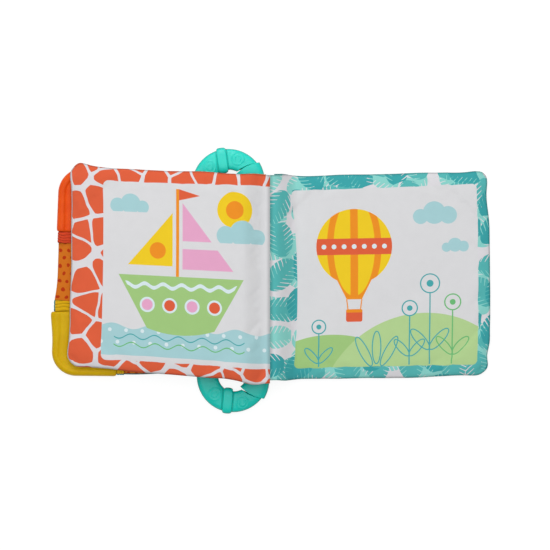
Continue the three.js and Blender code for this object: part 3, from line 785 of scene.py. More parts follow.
def seam_puckers(leaf, settings):
    """Simulates the leaf as a flat case of two cloths whose seam draws in, and returns how its upper and
    its lower cloth move, as offsets in millimetres on an even grid. The smooth part is taken out."""
    cell, unit = settings.cell / MM, 100.0
    lines = [np.linspace(0, size, round(size / cell) + 1) for size in (leaf.width, leaf.height)]
    u, v = np.meshgrid(*lines, indexing="ij")
    depth = np.minimum(np.minimum(u, leaf.width - u), np.minimum(v, leaf.height - v))
    half = leaf.crown / 2 * leaf.body(u, v) * rounded(u / leaf.roll)
    rim = depth < cell / 2
    top = np.arange(u.size).reshape(u.shape)
    low = top.copy()
    low[~rim] = u.size + np.arange((~rim).sum())
    points = np.concatenate([np.stack([u, v, half], -1).reshape(-1, 3), np.stack([u, v, -half], -1)[~rim]])
    faces = []
    for layer, order in ((top, (0, 1, 2, 3)), (low, (0, 3, 2, 1))):
        corners = [layer[:-1, :-1], layer[1:, :-1], layer[1:, 1:], layer[:-1, 1:]]
        faces += np.stack([corners[k] for k in order], -1).reshape(-1, 4).tolist()
    mesh = bpy.data.meshes.new("case")
    mesh.from_pydata((points / unit).tolist(), [], faces)
    case = bpy.data.objects.new("case", mesh)
    bpy.context.scene.collection.objects.link(case)
    from_rim = np.concatenate([depth.ravel(), depth[~rim]])
    for name, weights in (("foam", smooth((from_rim - 12) / 22)), ("seam", 1 - smooth(from_rim / 7))):
        group = case.vertex_groups.new(name=name)
        for index in np.nonzero(weights > 0)[0].tolist():
            group.add([index], float(weights[index]), "REPLACE")
    cloth = case.modifiers.new("cloth", "CLOTH")
    cloth.settings.vertex_group_mass = "foam"
    cloth.settings.vertex_group_shrink = "seam"
    cloth.settings.shrink_max = settings.draw_in
    cloth.settings.use_pressure = True
    cloth.settings.uniform_pressure_force = settings.pressure
    cloth.settings.effector_weights.gravity = 0
    cloth.collision_settings.use_collision = False
    cloth.point_cache.frame_end = settings.frames
    for number in range(1, settings.frames + 1):
        bpy.context.scene.frame_set(number)
    settled = case.evaluated_get(bpy.context.evaluated_depsgraph_get())
    moved = np.empty(len(points) * 3)
    settled.data.vertices.foreach_get("co", moved)
    move = moved.reshape(-1, 3) * unit - points
    bpy.data.objects.remove(case)
    bpy.context.scene.frame_set(1)
    limit = settings.pucker_limit / MM
    layers = np.stack([move[top], move[low]])
    from_side, from_end = np.minimum(u, leaf.width - u), np.minimum(v, leaf.height - v)
    at_end = smooth((from_side - from_end) / 16 + 0.5)[..., None]
    fine = layers - mix(blurred(layers, 5.0, (2,)), blurred(layers, 5.0, (1,)), at_end)
    return blurred(np.clip(fine * (1 - smooth((depth[..., None] - 8) / 22)), -limit, limit), 0.45)


def blurred(layers, width, axes=(1, 2)):
    """Averages grids over a bell of that width in cells."""
    reach = int(math.ceil(width * 2.5))
    weights = np.exp(-0.5 * (np.arange(-reach, reach + 1) / width) ** 2)
    weights /= weights.sum()
    for axis in axes:
        pad = [(0, 0)] * layers.ndim
        pad[axis] = (reach, reach)
        wide = np.pad(layers, pad, mode="edge")
        size = layers.shape[axis]
        layers = sum(w * np.take(wide, range(k, k + size), axis=axis) for k, w in enumerate(weights))
    return layers


def sampled(layer, leaf, u, v):
    """Reads an even grid of offsets at any place on the leaf."""
    rows, columns = layer.shape[:2]
    i, j = clamp(u / leaf.width) * (rows - 1), clamp(v / leaf.height) * (columns - 1)
    a, b = np.minimum(i.astype(int), rows - 2), np.minimum(j.astype(int), columns - 2)
    s, t = smooth(i - a)[..., None], smooth(j - b)[..., None]
    low = mix(layer[a, b], layer[a + 1, b], s)
    return mix(low, mix(layer[a, b + 1], layer[a + 1, b + 1], s), t)


def leaf_lines(leaf, cell, lip=False):
    """Grid lines across a leaf, closer together where its edges roll and where it swells at the spine."""
    roll = leaf.roll * (1 - np.cos(np.linspace(0, math.pi / 2, 13)))
    inner = np.linspace(0, SPINE_ROLL, 15)
    lips = [-2.96, -2.6, -2.0, -1.3, -0.6, -0.25] if lip else []

    def between(a, b):
        return np.linspace(a, b, max(2, round((b - a) / cell)) + 1)[1:-1]

    us = np.concatenate([lips, inner, between(SPINE_ROLL, leaf.width - leaf.roll), leaf.width - roll[::-1]])
    vs = np.concatenate([roll, between(leaf.roll, leaf.height - leaf.roll), leaf.height - roll[::-1]])
    return np.meshgrid(us, vs, indexing="ij")


def leaf_surface(leaf, u, v, upper, settings, puckers, drop=0.0):
    """Points of a leaf's cloth, drop below its outer side, and never past the middle of the leaf."""
    side = 1 if upper else -1
    flat_u, flat_v = leaf.cornered(u, v)
    if not upper:
        inset = settings.inset / MM
        flat_u = mix(inset, leaf.width - inset, flat_u / leaf.width)
        flat_v = mix(inset, leaf.height - inset, flat_v / leaf.height)
    x, y = leaf.place(flat_u, flat_v, upper)
    seam = settings.seam / MM
    half = leaf.half(u, v, x, seam)
    drop = np.asarray(drop, float)
    inner = np.maximum(half - drop, np.where(drop > 0, 0.03, 0))
    body = leaf.body(u, v)
    swell = smooth((x - SPINE_HALF) / SPINE_ROLL)
    z = leaf.middle(np.maximum(x, SPINE_HALF)) + side * inner
    if upper:
        arch = np.sin(math.pi * clamp(u / leaf.width)) * np.sin(math.pi * clamp(v / leaf.height))
        slack = 0.5 + 0.5 * np.sin(u * 0.075 + 1.2 * np.sin(v * 0.05)) * np.sin(v * 0.062 + 0.9)
        z = z + leaf.dome * arch * body + settings.slack / MM * slack * body * swell * (leaf.name != "cover")
    offset = sampled(puckers[0 if upper else 1], leaf, u, v)
    near_spine = smooth(u / 6)[..., None]
    offset = offset * near_spine
    x, y, z = x + offset[..., 0], y + offset[..., 1], z + offset[..., 2]
    if upper and leaf.name != "cover":
        lip = smooth(-u / 2.7)
        low = FOLD_HEIGHT - (0.12 if leaf.name == "page" else 0.26)
        top = mix(leaf.middle(np.full_like(u, SPINE_HALF)) + SPINE_EDGE, low, lip)
        z = np.where(u < 0, top - np.minimum(drop, 0.5), z)
    return np.stack([leaf.side * x, y, z], -1)


def cloth_panel(name, leaf, upper, settings, puckers, finish, body):
    """One cloth of a leaf as a closed shell: its outer side, its inner side and a thin rim at the seam."""
    printed = upper and leaf.name != "cover"
    u, v = leaf_lines(leaf, 1.7 if printed else 2.6, printed)
    outer = leaf_surface(leaf, u, v, upper, settings, puckers)
    inner = leaf_surface(leaf, u, v, upper, settings, puckers, settings.cloth / MM)
    points = np.concatenate([outer.reshape(-1, 3), inner.reshape(-1, 3)])
    flat = np.tile(np.stack([u, v], -1).reshape(-1, 2), (2, 1))
    piece = make_piece(name, points, shell_faces(*u.shape), finish, body, [name], flat)
    return piece


def filling(leaf, settings, puckers, finishes, body):
    """The wadding of a leaf and the crinkle film that lies on it, under the upper cloth."""
    inset, from_spine, cloth = 3.2, 5.0, settings.cloth / MM
    u, v = leaf_lines(leaf, 3.2)
    u = mix(from_spine, leaf.width - inset, clamp(u / leaf.width))
    v = mix(inset, leaf.height - inset, v / leaf.height)
    flat = np.tile(np.stack([u, v], -1).reshape(-1, 2), (2, 1))
    crease = 0.09 * np.sin(u * 0.9 + 2 * np.sin(v * 0.31)) * np.sin(v * 1.1 + 2 * np.sin(u * 0.23))
    # Of each side of a layer: whether it follows the upper cloth, and how far in from the outer face it is
    layers = {
        "film": [(True, cloth + 0.16 - crease), (True, cloth + 0.3 - crease)],
        "batting": [(True, cloth + 0.5), (False, cloth + 0.2)],
    }
    for kind, sides in layers.items():
        surfaces = [leaf_surface(leaf, u, v, upper, settings, puckers, drop) for upper, drop in sides]
        points = np.concatenate([surface.reshape(-1, 3) for surface in surfaces])
        node = leaf.name + ("_crinkle_film" if kind == "film" else "_batting")
        slot = "crinkle_film" if kind == "film" else "batting"
        piece = make_piece(node, points, shell_faces(*u.shape), finishes[kind], body, [node], flat)
        if kind == "film":
            size = ((leaf.width - 2 * inset) * MM, (leaf.height - 2 * inset) * MM)


# Corner teethers and cuffs

# Which end of the cover a teether is on, the radius of its outer corner, how deep its groove is, and how far
# the end of its leg up the side stands out and reaches in under the page
CORNERS = {
    "orange": {"end": 1, "radius": 20.5, "groove": 1.0, "flare": 0.0, "under": 1.5},
    "yellow": {"end": -1, "radius": 20.0, "groove": 0.25, "flare": 1.7, "under": 4.6},
}
# Sections from the outer side inwards, as shares of the width and of half the height
TEETHER_SHARES = [
    (0, 0), (0.006, 0.22), (0.03, 0.52), (0.1, 0.8), (0.19, 0.95), (0.29, 1), (0.39, 0.95), (0.455, 0.84),
    (0.5, 0.775), (0.55, 0.83), (0.66, 0.87), (0.8, 0.86), (0.95, 0.78), (1, 0.66),
]
CUFF_SHARES = [
    (0, 0), (0.01, 0.3), (0.06, 0.66), (0.18, 0.92), (0.36, 1), (0.6, 0.98), (0.85, 0.92), (1, 0.8),
]


def corner_line(end, depth, outer_radius, start, stop, steps):
    """Points round a corner of the cover that far in from its seam, and how far each is along the line."""
    radius = outer_radius - TEETHER["wall"] - depth
    bend = math.pi / 2 * radius
    leg = TEETHER["leg"] - depth - radius
    s = np.linspace(start, 2 * leg + bend - stop, steps)
    turn = clamp((s - leg) / bend) * math.pi / 2
    du = depth + radius * (1 - np.cos(turn)) + np.maximum(s - leg - bend, 0)
    dv = depth + radius * (1 - np.sin(turn)) + np.maximum(leg - s, 0)
    x, y = COVER.place(COVER.width - du, COVER.height - dv if end > 0 else dv)
    return np.stack([-x, y, COVER.middle(x)], -1), s


def edge_piece(line, size, shares, grow, inner):
    """A section swept round the edge of the cover, with a slot in which the cover's cloth lies. grow gives
    how much wider each point of the section is, by its place along the line and round the section, and
    inner how much farther in under the page it reaches along the line. Gives the points and faces, and of
    each point how much wider it is and how far in from the outer face."""
    along = np.gradient(line, axis=0)
    along /= np.linalg.norm(along, axis=1)[:, None]
    across = np.stack([-along[:, 1], along[:, 0], np.zeros(len(line))], -1)
    across /= np.linalg.norm(across, axis=1)[:, None]
    inwards = np.array([-COVER.width / 2, 4.0, 0.0]) - line
    across *= np.sign((across * inwards).sum(1))[:, None]
    profile = curve_through(shares, 4)
    width, high, wall = size["width"], size["height"] / 2, size["wall"]
    thinnest, seam_half = 0.25, 0.95

    def slot_half(from_seam):
        """Half the height of the slot that far in from the cover's seam."""
        return seam_half + (COVER.crown / 2 - seam_half) * rounded(from_seam / COVER.roll)

    rings, swells, depths = [], [], []
    for i, point in enumerate(line):
        swell = grow(i / (len(line) - 1), np.linspace(0, 1, len(profile)))
        slot_a = np.linspace(width + inner[i], wall - thinnest, 14)
        slot_b = slot_half(slot_a - wall)
        slot_b[-1] *= 0.6
        a = profile[:, 0] * (width + inner[i] + swell) - swell / 2
        b = profile[:, 1] * (high + swell / 2)
        b = np.where(a > wall, np.maximum(b, slot_half(a - wall) + thinnest), b)
        chain_a = np.concatenate([a, slot_a, slot_a[::-1], a[:0:-1]])
        chain_b = np.concatenate([b, slot_b, -slot_b[::-1], -b[:0:-1]])
        offset = (chain_a - width / 2)[:, None] * across[i] + chain_b[:, None] * np.array([0, 0, 1.0])
        rings.append(point + offset)
        hidden = np.full(len(slot_a), swell.min())
        swells.append(np.concatenate([swell, hidden, hidden, swell[:0:-1]]))
        depths.append(chain_a)
    return *tube(rings), {"swell": np.ravel(swells), "depth": np.ravel(depths)}


def teether(name, corner, finish):
    """A soft corner with a groove round it, whose leg up the side stands out at its end and reaches in under
    the page there."""
    inset, end_share = TEETHER["width"] / 2 - TEETHER["wall"], 0.0316
    line, s = corner_line(corner["end"], inset, corner["radius"], 0, 0, 150)
    line[:, 0] -= corner["flare"] * (1 - smooth(s / 26))

    def grow(t, around):
        rounding = 1 - rounded(min(t, 1 - t) / end_share)
        return -TEETHER["wall"] * 1.5 * rounding * np.ones_like(around)

    filled = 1 - corner["groove"]
    shares = [(a, b + filled * (0.9 - b) * (0.4 < a < 0.75)) for a, b in TEETHER_SHARES]
    under = corner["under"] * (1 - smooth(s / 32))
    points, faces, _ = edge_piece(line, TEETHER, shares, grow, under)
    return make_piece(name, points, faces, finish, "front_cover", [name], sharp=40)


def gathered_cuff(name, corner, on_side, folds, depth, finish):
    """Gathered cloth where a teether ends, on the side of the cover or along its end."""
    inset = CUFF["width"] / 2 - CUFF["wall"]
    radius = corner["radius"] - TEETHER["wall"] - inset
    whole = 2 * (TEETHER["leg"] - inset - radius) + math.pi / 2 * radius
    length, gap = (CUFF["side"] if on_side else CUFF["end"]), 0.1
    start, stop = (-length - gap, whole + gap) if on_side else (whole + gap, -length - gap)
    line, _ = corner_line(corner["end"], inset, corner["radius"], start, stop, 90)

    def grow(t, around):
        lean = 0.22 * np.sin(around * 4 + folds + 3 * t) + 0.1 * np.sin(around * 11 + 2 * folds)
        wave = np.abs(np.sin(math.pi * (folds * t + lean))) ** 0.6
        small = np.sin(2 * math.pi * (2.7 * folds * t - 1.6 * lean))
        rim = 1 - rounded(min(t, 1 - t) * 12)
        return depth * (wave - 1.1 + 0.14 * small) - 1.2 * rim

    under = np.full(len(line), CUFF["under"] * on_side)
    points, faces, marks = edge_piece(line, CUFF, CUFF_SHARES, grow, under)
    return make_piece(name, points, faces, finish, "front_cover", [name], sharp=60, marks=marks)


# Ring links

SLIT_ANGLE = 48.0  # degrees from +X
SLIT_SLANT = 10.0  # degrees that the slit turns from the middle of the ring to its edge
TAPER = 0.93  # width of the other end of the ring beside the slit
SECTION = 0.68  # how full the ring's section is: 1 is an oval, less is fuller
STRAP_ENDS = {"inner": 2.3, "outer": 1.5, "power": 2.6}  # how far a strap's ends stand out, and how full
HEAD_FALL = 1.7  # how far the head's outer side falls back over its length
GROOVE = {"out": 1.25, "width": 0.5}  # how far outside a raised edge it lies, in widths of that edge
CIRCLES = (2.4, 4.8)  # radii of a pair of embossed circles
# The direction in degrees of each pair from the ring's middle, and its distance from there
EMBOSSED = [(71.5, 22.6), (136.0, 21.0), (200.0, 21.0), (262.0, 21.0), (324.0, 21.0)]


def lean_of(passes, radius):
    """The angle from a line's own direction at which it leaves a circle, whose middle it passes at a
    distance."""
    return np.arctan2(passes, np.sqrt(np.maximum(radius**2 - passes**2, 0)))


def ring_link(name, place, body, settings, finish):
    """The open ring with its strap, its proud head beside the slanted slit and embossed circles. A section
    lies along the strap there, and through the ring's middle away from it."""
    skin = settings.ring_skin / MM
    middle = RING["radius"] - RING["width"] / 2
    to_degrees = 180 / math.pi / middle
    slit, head, edge = (size * to_degrees for size in (RING["slit"] / 2, HEAD["length"], BAND["edge"]))
    start, end = SLIT_ANGLE + slit, SLIT_ANGLE + 360 - slit

    def angle_at(offset):
        return place["band"] + np.degrees(lean_of(offset, middle))

    half = (BAND["width"] + skin) / 2
    sides = [angle_at(place["offset"] + side * (half + BAND["edge"] / 2)) for side in (-1, 1)]
    edges = (*sides, end - head - edge / 2)
    near_edges = [np.linspace(at - 1.5 * edge, at + 1.5 * edge, 14) for at in edges]
    tips, along, around = np.array([0.1, 0.25, 0.5, 0.9, 1.5]), 420, 88
    angles = [np.linspace(start, end, along), *near_edges, start + tips, end - tips]
    turn = 2 * math.pi * (np.arange(around) + 0.5) / around
    across, up = fuller(np.cos(turn), SECTION), fuller(np.sin(turn), SECTION)
    angle = np.unique(np.concatenate(angles))[:, None]
    from_band = np.abs(angle - angle_at(place["offset"])) - (angle_at(BAND["width"]) - place["band"])
    passes = middle * np.sin(np.radians(angle - place["band"]))
    near_band, far_off = 9, 99  # degrees from the band, and millimetres for the rest of the ring
    beside = np.where(from_band < near_band, np.abs(passes - place["offset"]), far_off)
    strap = smooth((half + BAND["edge"] - beside) / BAND["edge"])
    finger = np.sqrt(1 - clamp(beside / (half + BAND["edge"])) ** STRAP_ENDS["power"])
    before_head = (end - head - GROOVE["out"] * edge - angle) / to_degrees
    groove = bell(beside, half + GROOVE["out"] * BAND["edge"], GROOVE["width"])
    groove = groove + bell(before_head, 0, GROOVE["width"])
    on_head = smooth((angle - end + head + edge) / edge)
    taper = mix(TAPER, 1, clamp((angle - start) / (2 * head)))
    from_end = np.minimum(angle - start, end - angle) / to_degrees
    worn = settings.ring_edge / MM * (1 - rounded(from_end / 0.5))
    half_width = RING["width"] / 2 * taper + HEAD["proud"] * on_head - worn
    more = mix(skin, -HEAD_FALL * clamp((end - angle) / head), on_head)
    inner, outer = middle - half_width, middle + half_width + more
    tips = [np.sqrt(r**2 - place["offset"] ** 2) for r in (inner, outer)]
    inner = mix(inner, np.hypot(tips[0] - STRAP_ENDS["inner"] * finger, passes), strap)
    outer = mix(outer, np.hypot(tips[1] + STRAP_ENDS["outer"] * finger, passes), strap)
    passes = passes * clamp(1 - from_band / BAND["fade"])
    risen = np.maximum(strap * (0.4 + 0.6 * finger), on_head)
    half_height = RING["height"] / 2 + BAND["rise"] * risen - worn - settings.groove / MM * groove
    radius = middle + across * np.where(across > 0, outer - middle, middle - inner)
    near_slit = clamp(1 - np.minimum(angle - start, end - angle) / head)
    at = np.radians(angle - SLIT_SLANT * across * near_slit)
    at = at + lean_of(passes, radius) - lean_of(passes, middle)
    x, y, z = radius * np.cos(at), radius * np.sin(at), up * half_height
    for spot, spot_radius in EMBOSSED:
        cx, cy = spot_radius * math.cos(math.radians(spot)), spot_radius * math.sin(math.radians(spot))
        away = np.hypot(x - cx, y - cy)
        raised = sum(bell(away, circle, 0.5) for circle in CIRCLES)
        z = z + np.sign(up) * settings.emboss / MM * raised * np.abs(up) ** 2 * (1 - strap) * (1 - on_head)
    flip = 1 if place["y"] > 0 else -1
    rings = np.stack([place["x"] + x, place["y"] + flip * y, (RING_LOW + RING_HIGH) / 2 + z], -1)
    points, faces = tube(rings)
    # Painted shade: the colour darkens down the ring's sides, where they turn away from the light, and in
    # the grooves beside the strap and the head
    painted_side_shade, painted_groove_shade = 0.45, 0.65
    shade = mix(painted_side_shade, 1, smooth((np.abs(up) - 0.3) / 0.42)) * mix(1, painted_groove_shade, groove)
    marks = {"shade": shade.ravel()}
    return make_piece(name, points, faces, finish, body, [name], sharp=50, marks=marks)


# Ribbons


def loop_outline(place):
    """Where the ribbon loop runs round the ring: its near, far, low and high sides."""
    towards = -1 if place["y"] > 0 else 1
    hole = RING["radius"] - RING["width"] - HEAD["proud"] - GAP
    near = place["y"] + towards * (math.sqrt(hole**2 - (RIBBON["width"] / 2) ** 2) - RIBBON["thickness"])
    far = place["y"] + towards * (RING["radius"] + HEAD["proud"] + GAP + RIBBON["thickness"])
    return near, far, towards, 0.0, RING_HIGH + GAP + RIBBON["thickness"]


def ribbon_loop(name, place, body, finish):
    """A woven ribbon round the ring, a flat band with fine ribs along it and thin edges."""
    near, far, _, low, high = loop_outline(place)
    half, radius, ribs, count = RIBBON["thickness"] / 2, 1.3, 1.1, 19
    left, right, low, high = min(near, far) + half, max(near, far) - half, low + half, high - half
    path = []
    for cx, cz, first in (
        (right - radius, low + radius, -90), (right - radius, high - radius, 0),
        (left + radius, high - radius, 90), (left + radius, low + radius, 180),
    ):
        for step in np.linspace(0, 90, 9):
            turn = math.radians(first + step)
            path.append((cx + radius * math.cos(turn), cz + radius * math.sin(turn)))
    path = np.array(path)
    ahead, behind = np.roll(path, -1, axis=0), np.roll(path, 1, axis=0)
    along = (ahead - behind) / np.linalg.norm(ahead - behind, axis=1)[:, None]
    normal = np.stack([along[:, 1], -along[:, 0]], -1)
    rings = []
    flat, edge = RIBBON["width"] / 2 - 0.2, RIBBON["width"] / 2 - 0.05
    across = np.linspace(-flat, flat, count)
    widths = np.concatenate([across, [edge], across[::-1], [-edge]])
    sides = np.concatenate([np.ones(count), [0], -np.ones(count), [0]])
    thick = 0.33 + 0.04 * np.cos(widths * 2 * math.pi / ribs)
    for point, out in zip(path, normal):
        yz = point + (sides * thick)[:, None] * out
        rings.append(np.stack([place["x"] + widths, yz[:, 0], yz[:, 1]], -1))
    points, faces = tube(rings, caps=False)
    return make_piece(name, points, faces, finish, body, [name], sharp=70)


def ribbon_tab(name, place, finish):
    """The folded ends of the ribbon, sewn under the cover, which fill the wedge above the loop."""
    _, far, towards, _, high = loop_outline(place)
    low = high - RIBBON["thickness"]
    start, end, pleat = GAP, GAP + RIBBON["tab"], 1.75
    turn = np.linspace(0, 2 * math.pi, 48, endpoint=False)
    b = fuller(np.sin(turn), 0.5)
    rings = []
    for s in np.linspace(start, end, 15):
        round_off = 0.22 * (1 - rounded(min(s - start, end - s) / 0.6))
        x = place["x"] + fuller(np.cos(turn), 0.28) * (RIBBON["width"] / 2 - round_off)
        under = COVER.middle(-x) - COVER.crown / 2 - GAP
        half = (under - low) / 2 - round_off - 0.05 * (1 - np.cos(s * 2 * math.pi / pleat)) * np.abs(b)
        rings.append(np.stack([x, np.full(len(x), far + towards * s), (under + low) / 2 + b * half], -1))
    points, faces = tube(rings)
    return make_piece(name, points, faces, finish, "front_cover", [name], sharp=60)


# Stitches


def stitch_row_tree():
    """Sews a row of stitches along a line of edges."""
    tree = bpy.data.node_groups.new("Stitch row", "GeometryNodeTree")
    face = tree.interface
    face.new_socket("Line", in_out="INPUT", socket_type="NodeSocketGeometry")
    for name, default in (("Spacing", 0.0033), ("Stitch length", 0.0024), ("Thread width", 0.0006)):
        socket = face.new_socket(name, in_out="INPUT", socket_type="NodeSocketFloat")
        socket.default_value, socket.subtype = default, "DISTANCE"
    face.new_socket("Thread", in_out="INPUT", socket_type="NodeSocketMaterial")
    face.new_socket("Stitches", in_out="OUTPUT", socket_type="NodeSocketGeometry")

    def node(kind, settings, inputs):
        made = tree.nodes.new(kind)
        for key, value in settings.items():
            setattr(made, key, value)
        for key, value in inputs.items():
            if isinstance(value, bpy.types.NodeSocket):
                tree.links.new(value, made.inputs[key])
            else:
                made.inputs[key].default_value = value
        return made.outputs

    given = node("NodeGroupInput", {}, {})
    line = node("GeometryNodeMeshToCurve", {}, {"Mesh": given["Line"]})["Curve"]
    inputs = {"Curve": line, "Length": given["Spacing"]}
    points = node("GeometryNodeResampleCurve", {"mode": "LENGTH"}, inputs)["Curve"]
    tangent = node("GeometryNodeInputTangent", {}, {})["Tangent"]
    turned = node("FunctionNodeAlignRotationToVector", {"axis": "Z"}, {"Vector": tangent})["Rotation"]
    half = node("ShaderNodeMath", {"operation": "MULTIPLY"}, {0: given["Stitch length"], 1: 0.5})["Value"]
    ball = node("GeometryNodeMeshUVSphere", {}, {"Segments": 8, "Rings": 6, "Radius": 1.0})["Mesh"]
    thick = node("ShaderNodeMath", {"operation": "MULTIPLY"}, {0: given["Thread width"], 1: 0.5})["Value"]
    size = node("ShaderNodeCombineXYZ", {}, {"X": thick, "Y": thick, "Z": half})["Vector"]
    inputs = {"Points": points, "Instance": ball, "Rotation": turned, "Scale": size}
    sewn = node("GeometryNodeInstanceOnPoints", {}, inputs)["Instances"]
    real = node("GeometryNodeRealizeInstances", {}, {"Geometry": sewn})["Geometry"]
    worn = node("GeometryNodeSetMaterial", {}, {"Geometry": real, "Material": given["Thread"]})["Geometry"]
    tree.links.new(worn, tree.nodes.new("NodeGroupOutput").inputs["Stitches"])
    return tree


def stitch_row(name, path, body, finish, stands_for=(), spacing=3.3, length=2.5, width=0.6):
    """Stitches along a path in millimetres, as a plain mesh."""
    mesh = bpy.data.meshes.new(name + "_line")
    points = (np.asarray(path, float) * MM).tolist()
    mesh.from_pydata(points, [(i, i + 1) for i in range(len(points) - 1)], [])
    line = bpy.data.objects.new(name, mesh)
    bpy.context.scene.collection.objects.link(line)
    tree = bpy.data.node_groups.get("Stitch row") or stitch_row_tree()
    modifier = line.modifiers.new("stitches", "NODES")
    modifier.node_group = tree
    named = {item.name: item.identifier for item in tree.interface.items_tree if item.in_out == "INPUT"}
    modifier[named["Spacing"]] = spacing * MM
    modifier[named["Stitch length"]] = length * MM
    modifier[named["Thread width"]] = width * MM
    modifier[named["Thread"]] = finish
    settled = line.evaluated_get(bpy.context.evaluated_depsgraph_get())
    sewn = bpy.data.meshes.new_from_object(settled)
    line.modifiers.remove(modifier)
    line.data = sewn
    sewn.name = name
    sewn.shade_smooth()
    return dress(line, body, stands_for)


# What a user would change


def colour_of(name, description, red, green, blue):
    return FloatVectorProperty(
        name=name, description=description, subtype="COLOR", size=3, min=0, max=1,
        default=paint(red, green, blue),
    )


def length_of(name, description, millimetres):
    return FloatProperty(
        name=name, description=description, subtype="DISTANCE", unit="LENGTH", min=0, precision=5,
        default=millimetres * MM,
    )


def power_of(name, description, watts):
    return FloatProperty(name=name, description=description, subtype="POWER", min=0, default=watts)


class PrintColours(PropertyGroup):
    white: colour_of("Panel", "Ground of the two printed panels", 224, 224, 226)
    page_edge: colour_of("Border ground", "Ground between the border's patches and leaves", 226, 224, 228)
    coral: colour_of("Coral", "Patches of the left border", 228, 99, 64)
    leaf: colour_of("Jungle leaf", "Darker leaves of the right border", 89, 186, 184)
    leaf_deep: colour_of("Deep leaf", "Darkest leaves of the right border", 62, 168, 172)
    aqua: colour_of("Pale leaf", "Lighter leaves of the right border", 142, 216, 208)
    sky: colour_of("Pale blue", "Clouds and sea", 170, 212, 217)
    foam: colour_of("Foam", "Dots on the sea and rims of the portholes", 222, 238, 242)
    green: colour_of("Green", "Hull and the far hill", 165, 205, 130)
    light_green: colour_of("Light green", "The near hill", 184, 216, 150)
    pink: colour_of("Pink", "Sail and portholes", 235, 170, 205)
    yellow: colour_of("Yellow", "Sun, sail and balloon", 245, 208, 40)
    orange: colour_of("Orange", "Mast and stripes", 243, 148, 40)
    teal_line: colour_of("Teal line", "Drawn lines", 75, 172, 176)
    green_line: colour_of("Green line", "Drawn lines", 112, 192, 122)
    dotted: colour_of("Dotted cloth", "Inner cloth of the front cover", 214, 116, 30)
    dots: colour_of("Dots", "Dots on the front cover's inner cloth", 186, 56, 14)
    teal: colour_of("Outer cloth", "Outer cloth of both covers and the spine", 44, 138, 138)
    reverse: colour_of("Reverse", "Cloth on the hidden side of the turned page", 224, 224, 226)


class LeafSettings(PropertyGroup):
    cloth: length_of("Cloth thickness", "Thickness of a quilted cloth panel", 0.8)
    seam: length_of("Seam thickness", "Half the thickness of a leaf at its outer seam", 0.4)
    slack: length_of("Slack", "Height of the soft waves in the upper cloth", 0.7)
    cell: length_of("Simulation cell", "Size of a face of the simulated case", 3.2)
    pucker_limit: length_of("Pucker limit", "Farthest that a seam's puckers move the cloth", 0.7)
    inset: length_of("Inset", "How far the lower cloth of a leaf stays inside the upper one", 0.35)
    draw_in: FloatProperty(
        name="Draw-in", description="Share of its length that a seam draws in", subtype="FACTOR",
        min=0, max=0.3, default=0.07,
    )
    pressure: FloatProperty(
        name="Pressure", description="Pressure of the stuffing", min=0, max=50, default=4
    )
    frames: IntProperty(name="Frames", description="Steps of the simulation", min=1, max=60, default=20)


class TrimSettings(PropertyGroup):
    orange: colour_of("Orange teether", "Silicone of the upper corner", 246, 96, 24)
    orange_deep: colour_of("Orange teether, deep", "Its deeper tone", 228, 74, 14)
    yellow: colour_of("Yellow teether", "Silicone of the lower corner", 224, 185, 4)
    yellow_deep: colour_of("Yellow teether, deep", "Its deeper tone", 204, 162, 0)
    orange_cuff: colour_of("Orange cuff", "Gathered cloth at the orange teether", 216, 72, 40)
    yellow_cuff: colour_of("Yellow cuff", "Gathered cloth at the yellow teether", 222, 176, 20)
    # The two rings are one turquoise plastic: the lower ring's darker colour is painted shade, for the
    # shadow of the book that it lies in
    ring: colour_of("Upper ring", "Plastic of the upper ring link", 34, 226, 208)
    ring_shaded: colour_of("Lower ring", "Plastic of the lower ring link", 0, 203, 187)
    thread: colour_of("Thread", "Sewing thread", 232, 232, 230)
    gather: length_of("Gathers", "Depth of the folds in the cuffs", 0.9)
    emboss: length_of("Embossing", "Height of the circles on the rings", 0.42)
    ring_edge: length_of("Ring edge", "Rounding of a ring's ends at its slit", 0.25)
    ring_skin: length_of("Ring skin", "How much fuller a ring's outer side and its strap are", 0.9)
    groove: length_of("Groove", "Depth of the grooves beside a ring's strap and head", 0.45)


class StageSettings(PropertyGroup):
    distance: length_of("Camera height", "Height of the camera over the floor", 4015)
    view: length_of("View width", "Width of the picture at the book", 440)
    world: FloatProperty(
        name="World", description="Brightness of the studio around the book", min=0, default=0.4
    )
    key: power_of("Key light", "Power of the light from the upper left", 8)
    overhead: power_of("Overhead light", "Power of the wide light above", 18)


class BookSettings(PropertyGroup):
    colours: PointerProperty(type=PrintColours)
    leaf: PointerProperty(type=LeafSettings)
    trim: PointerProperty(type=TrimSettings)
    stage: PointerProperty(type=StageSettings)


# Operators

# The camera's sensor in its own millimetres, and the height and the middle of what it looks at, in metres
SENSOR_WIDTH, BOOK_HEIGHT, VIEW_MIDDLE = 36.0, 0.015, (0.004, 0.0038)


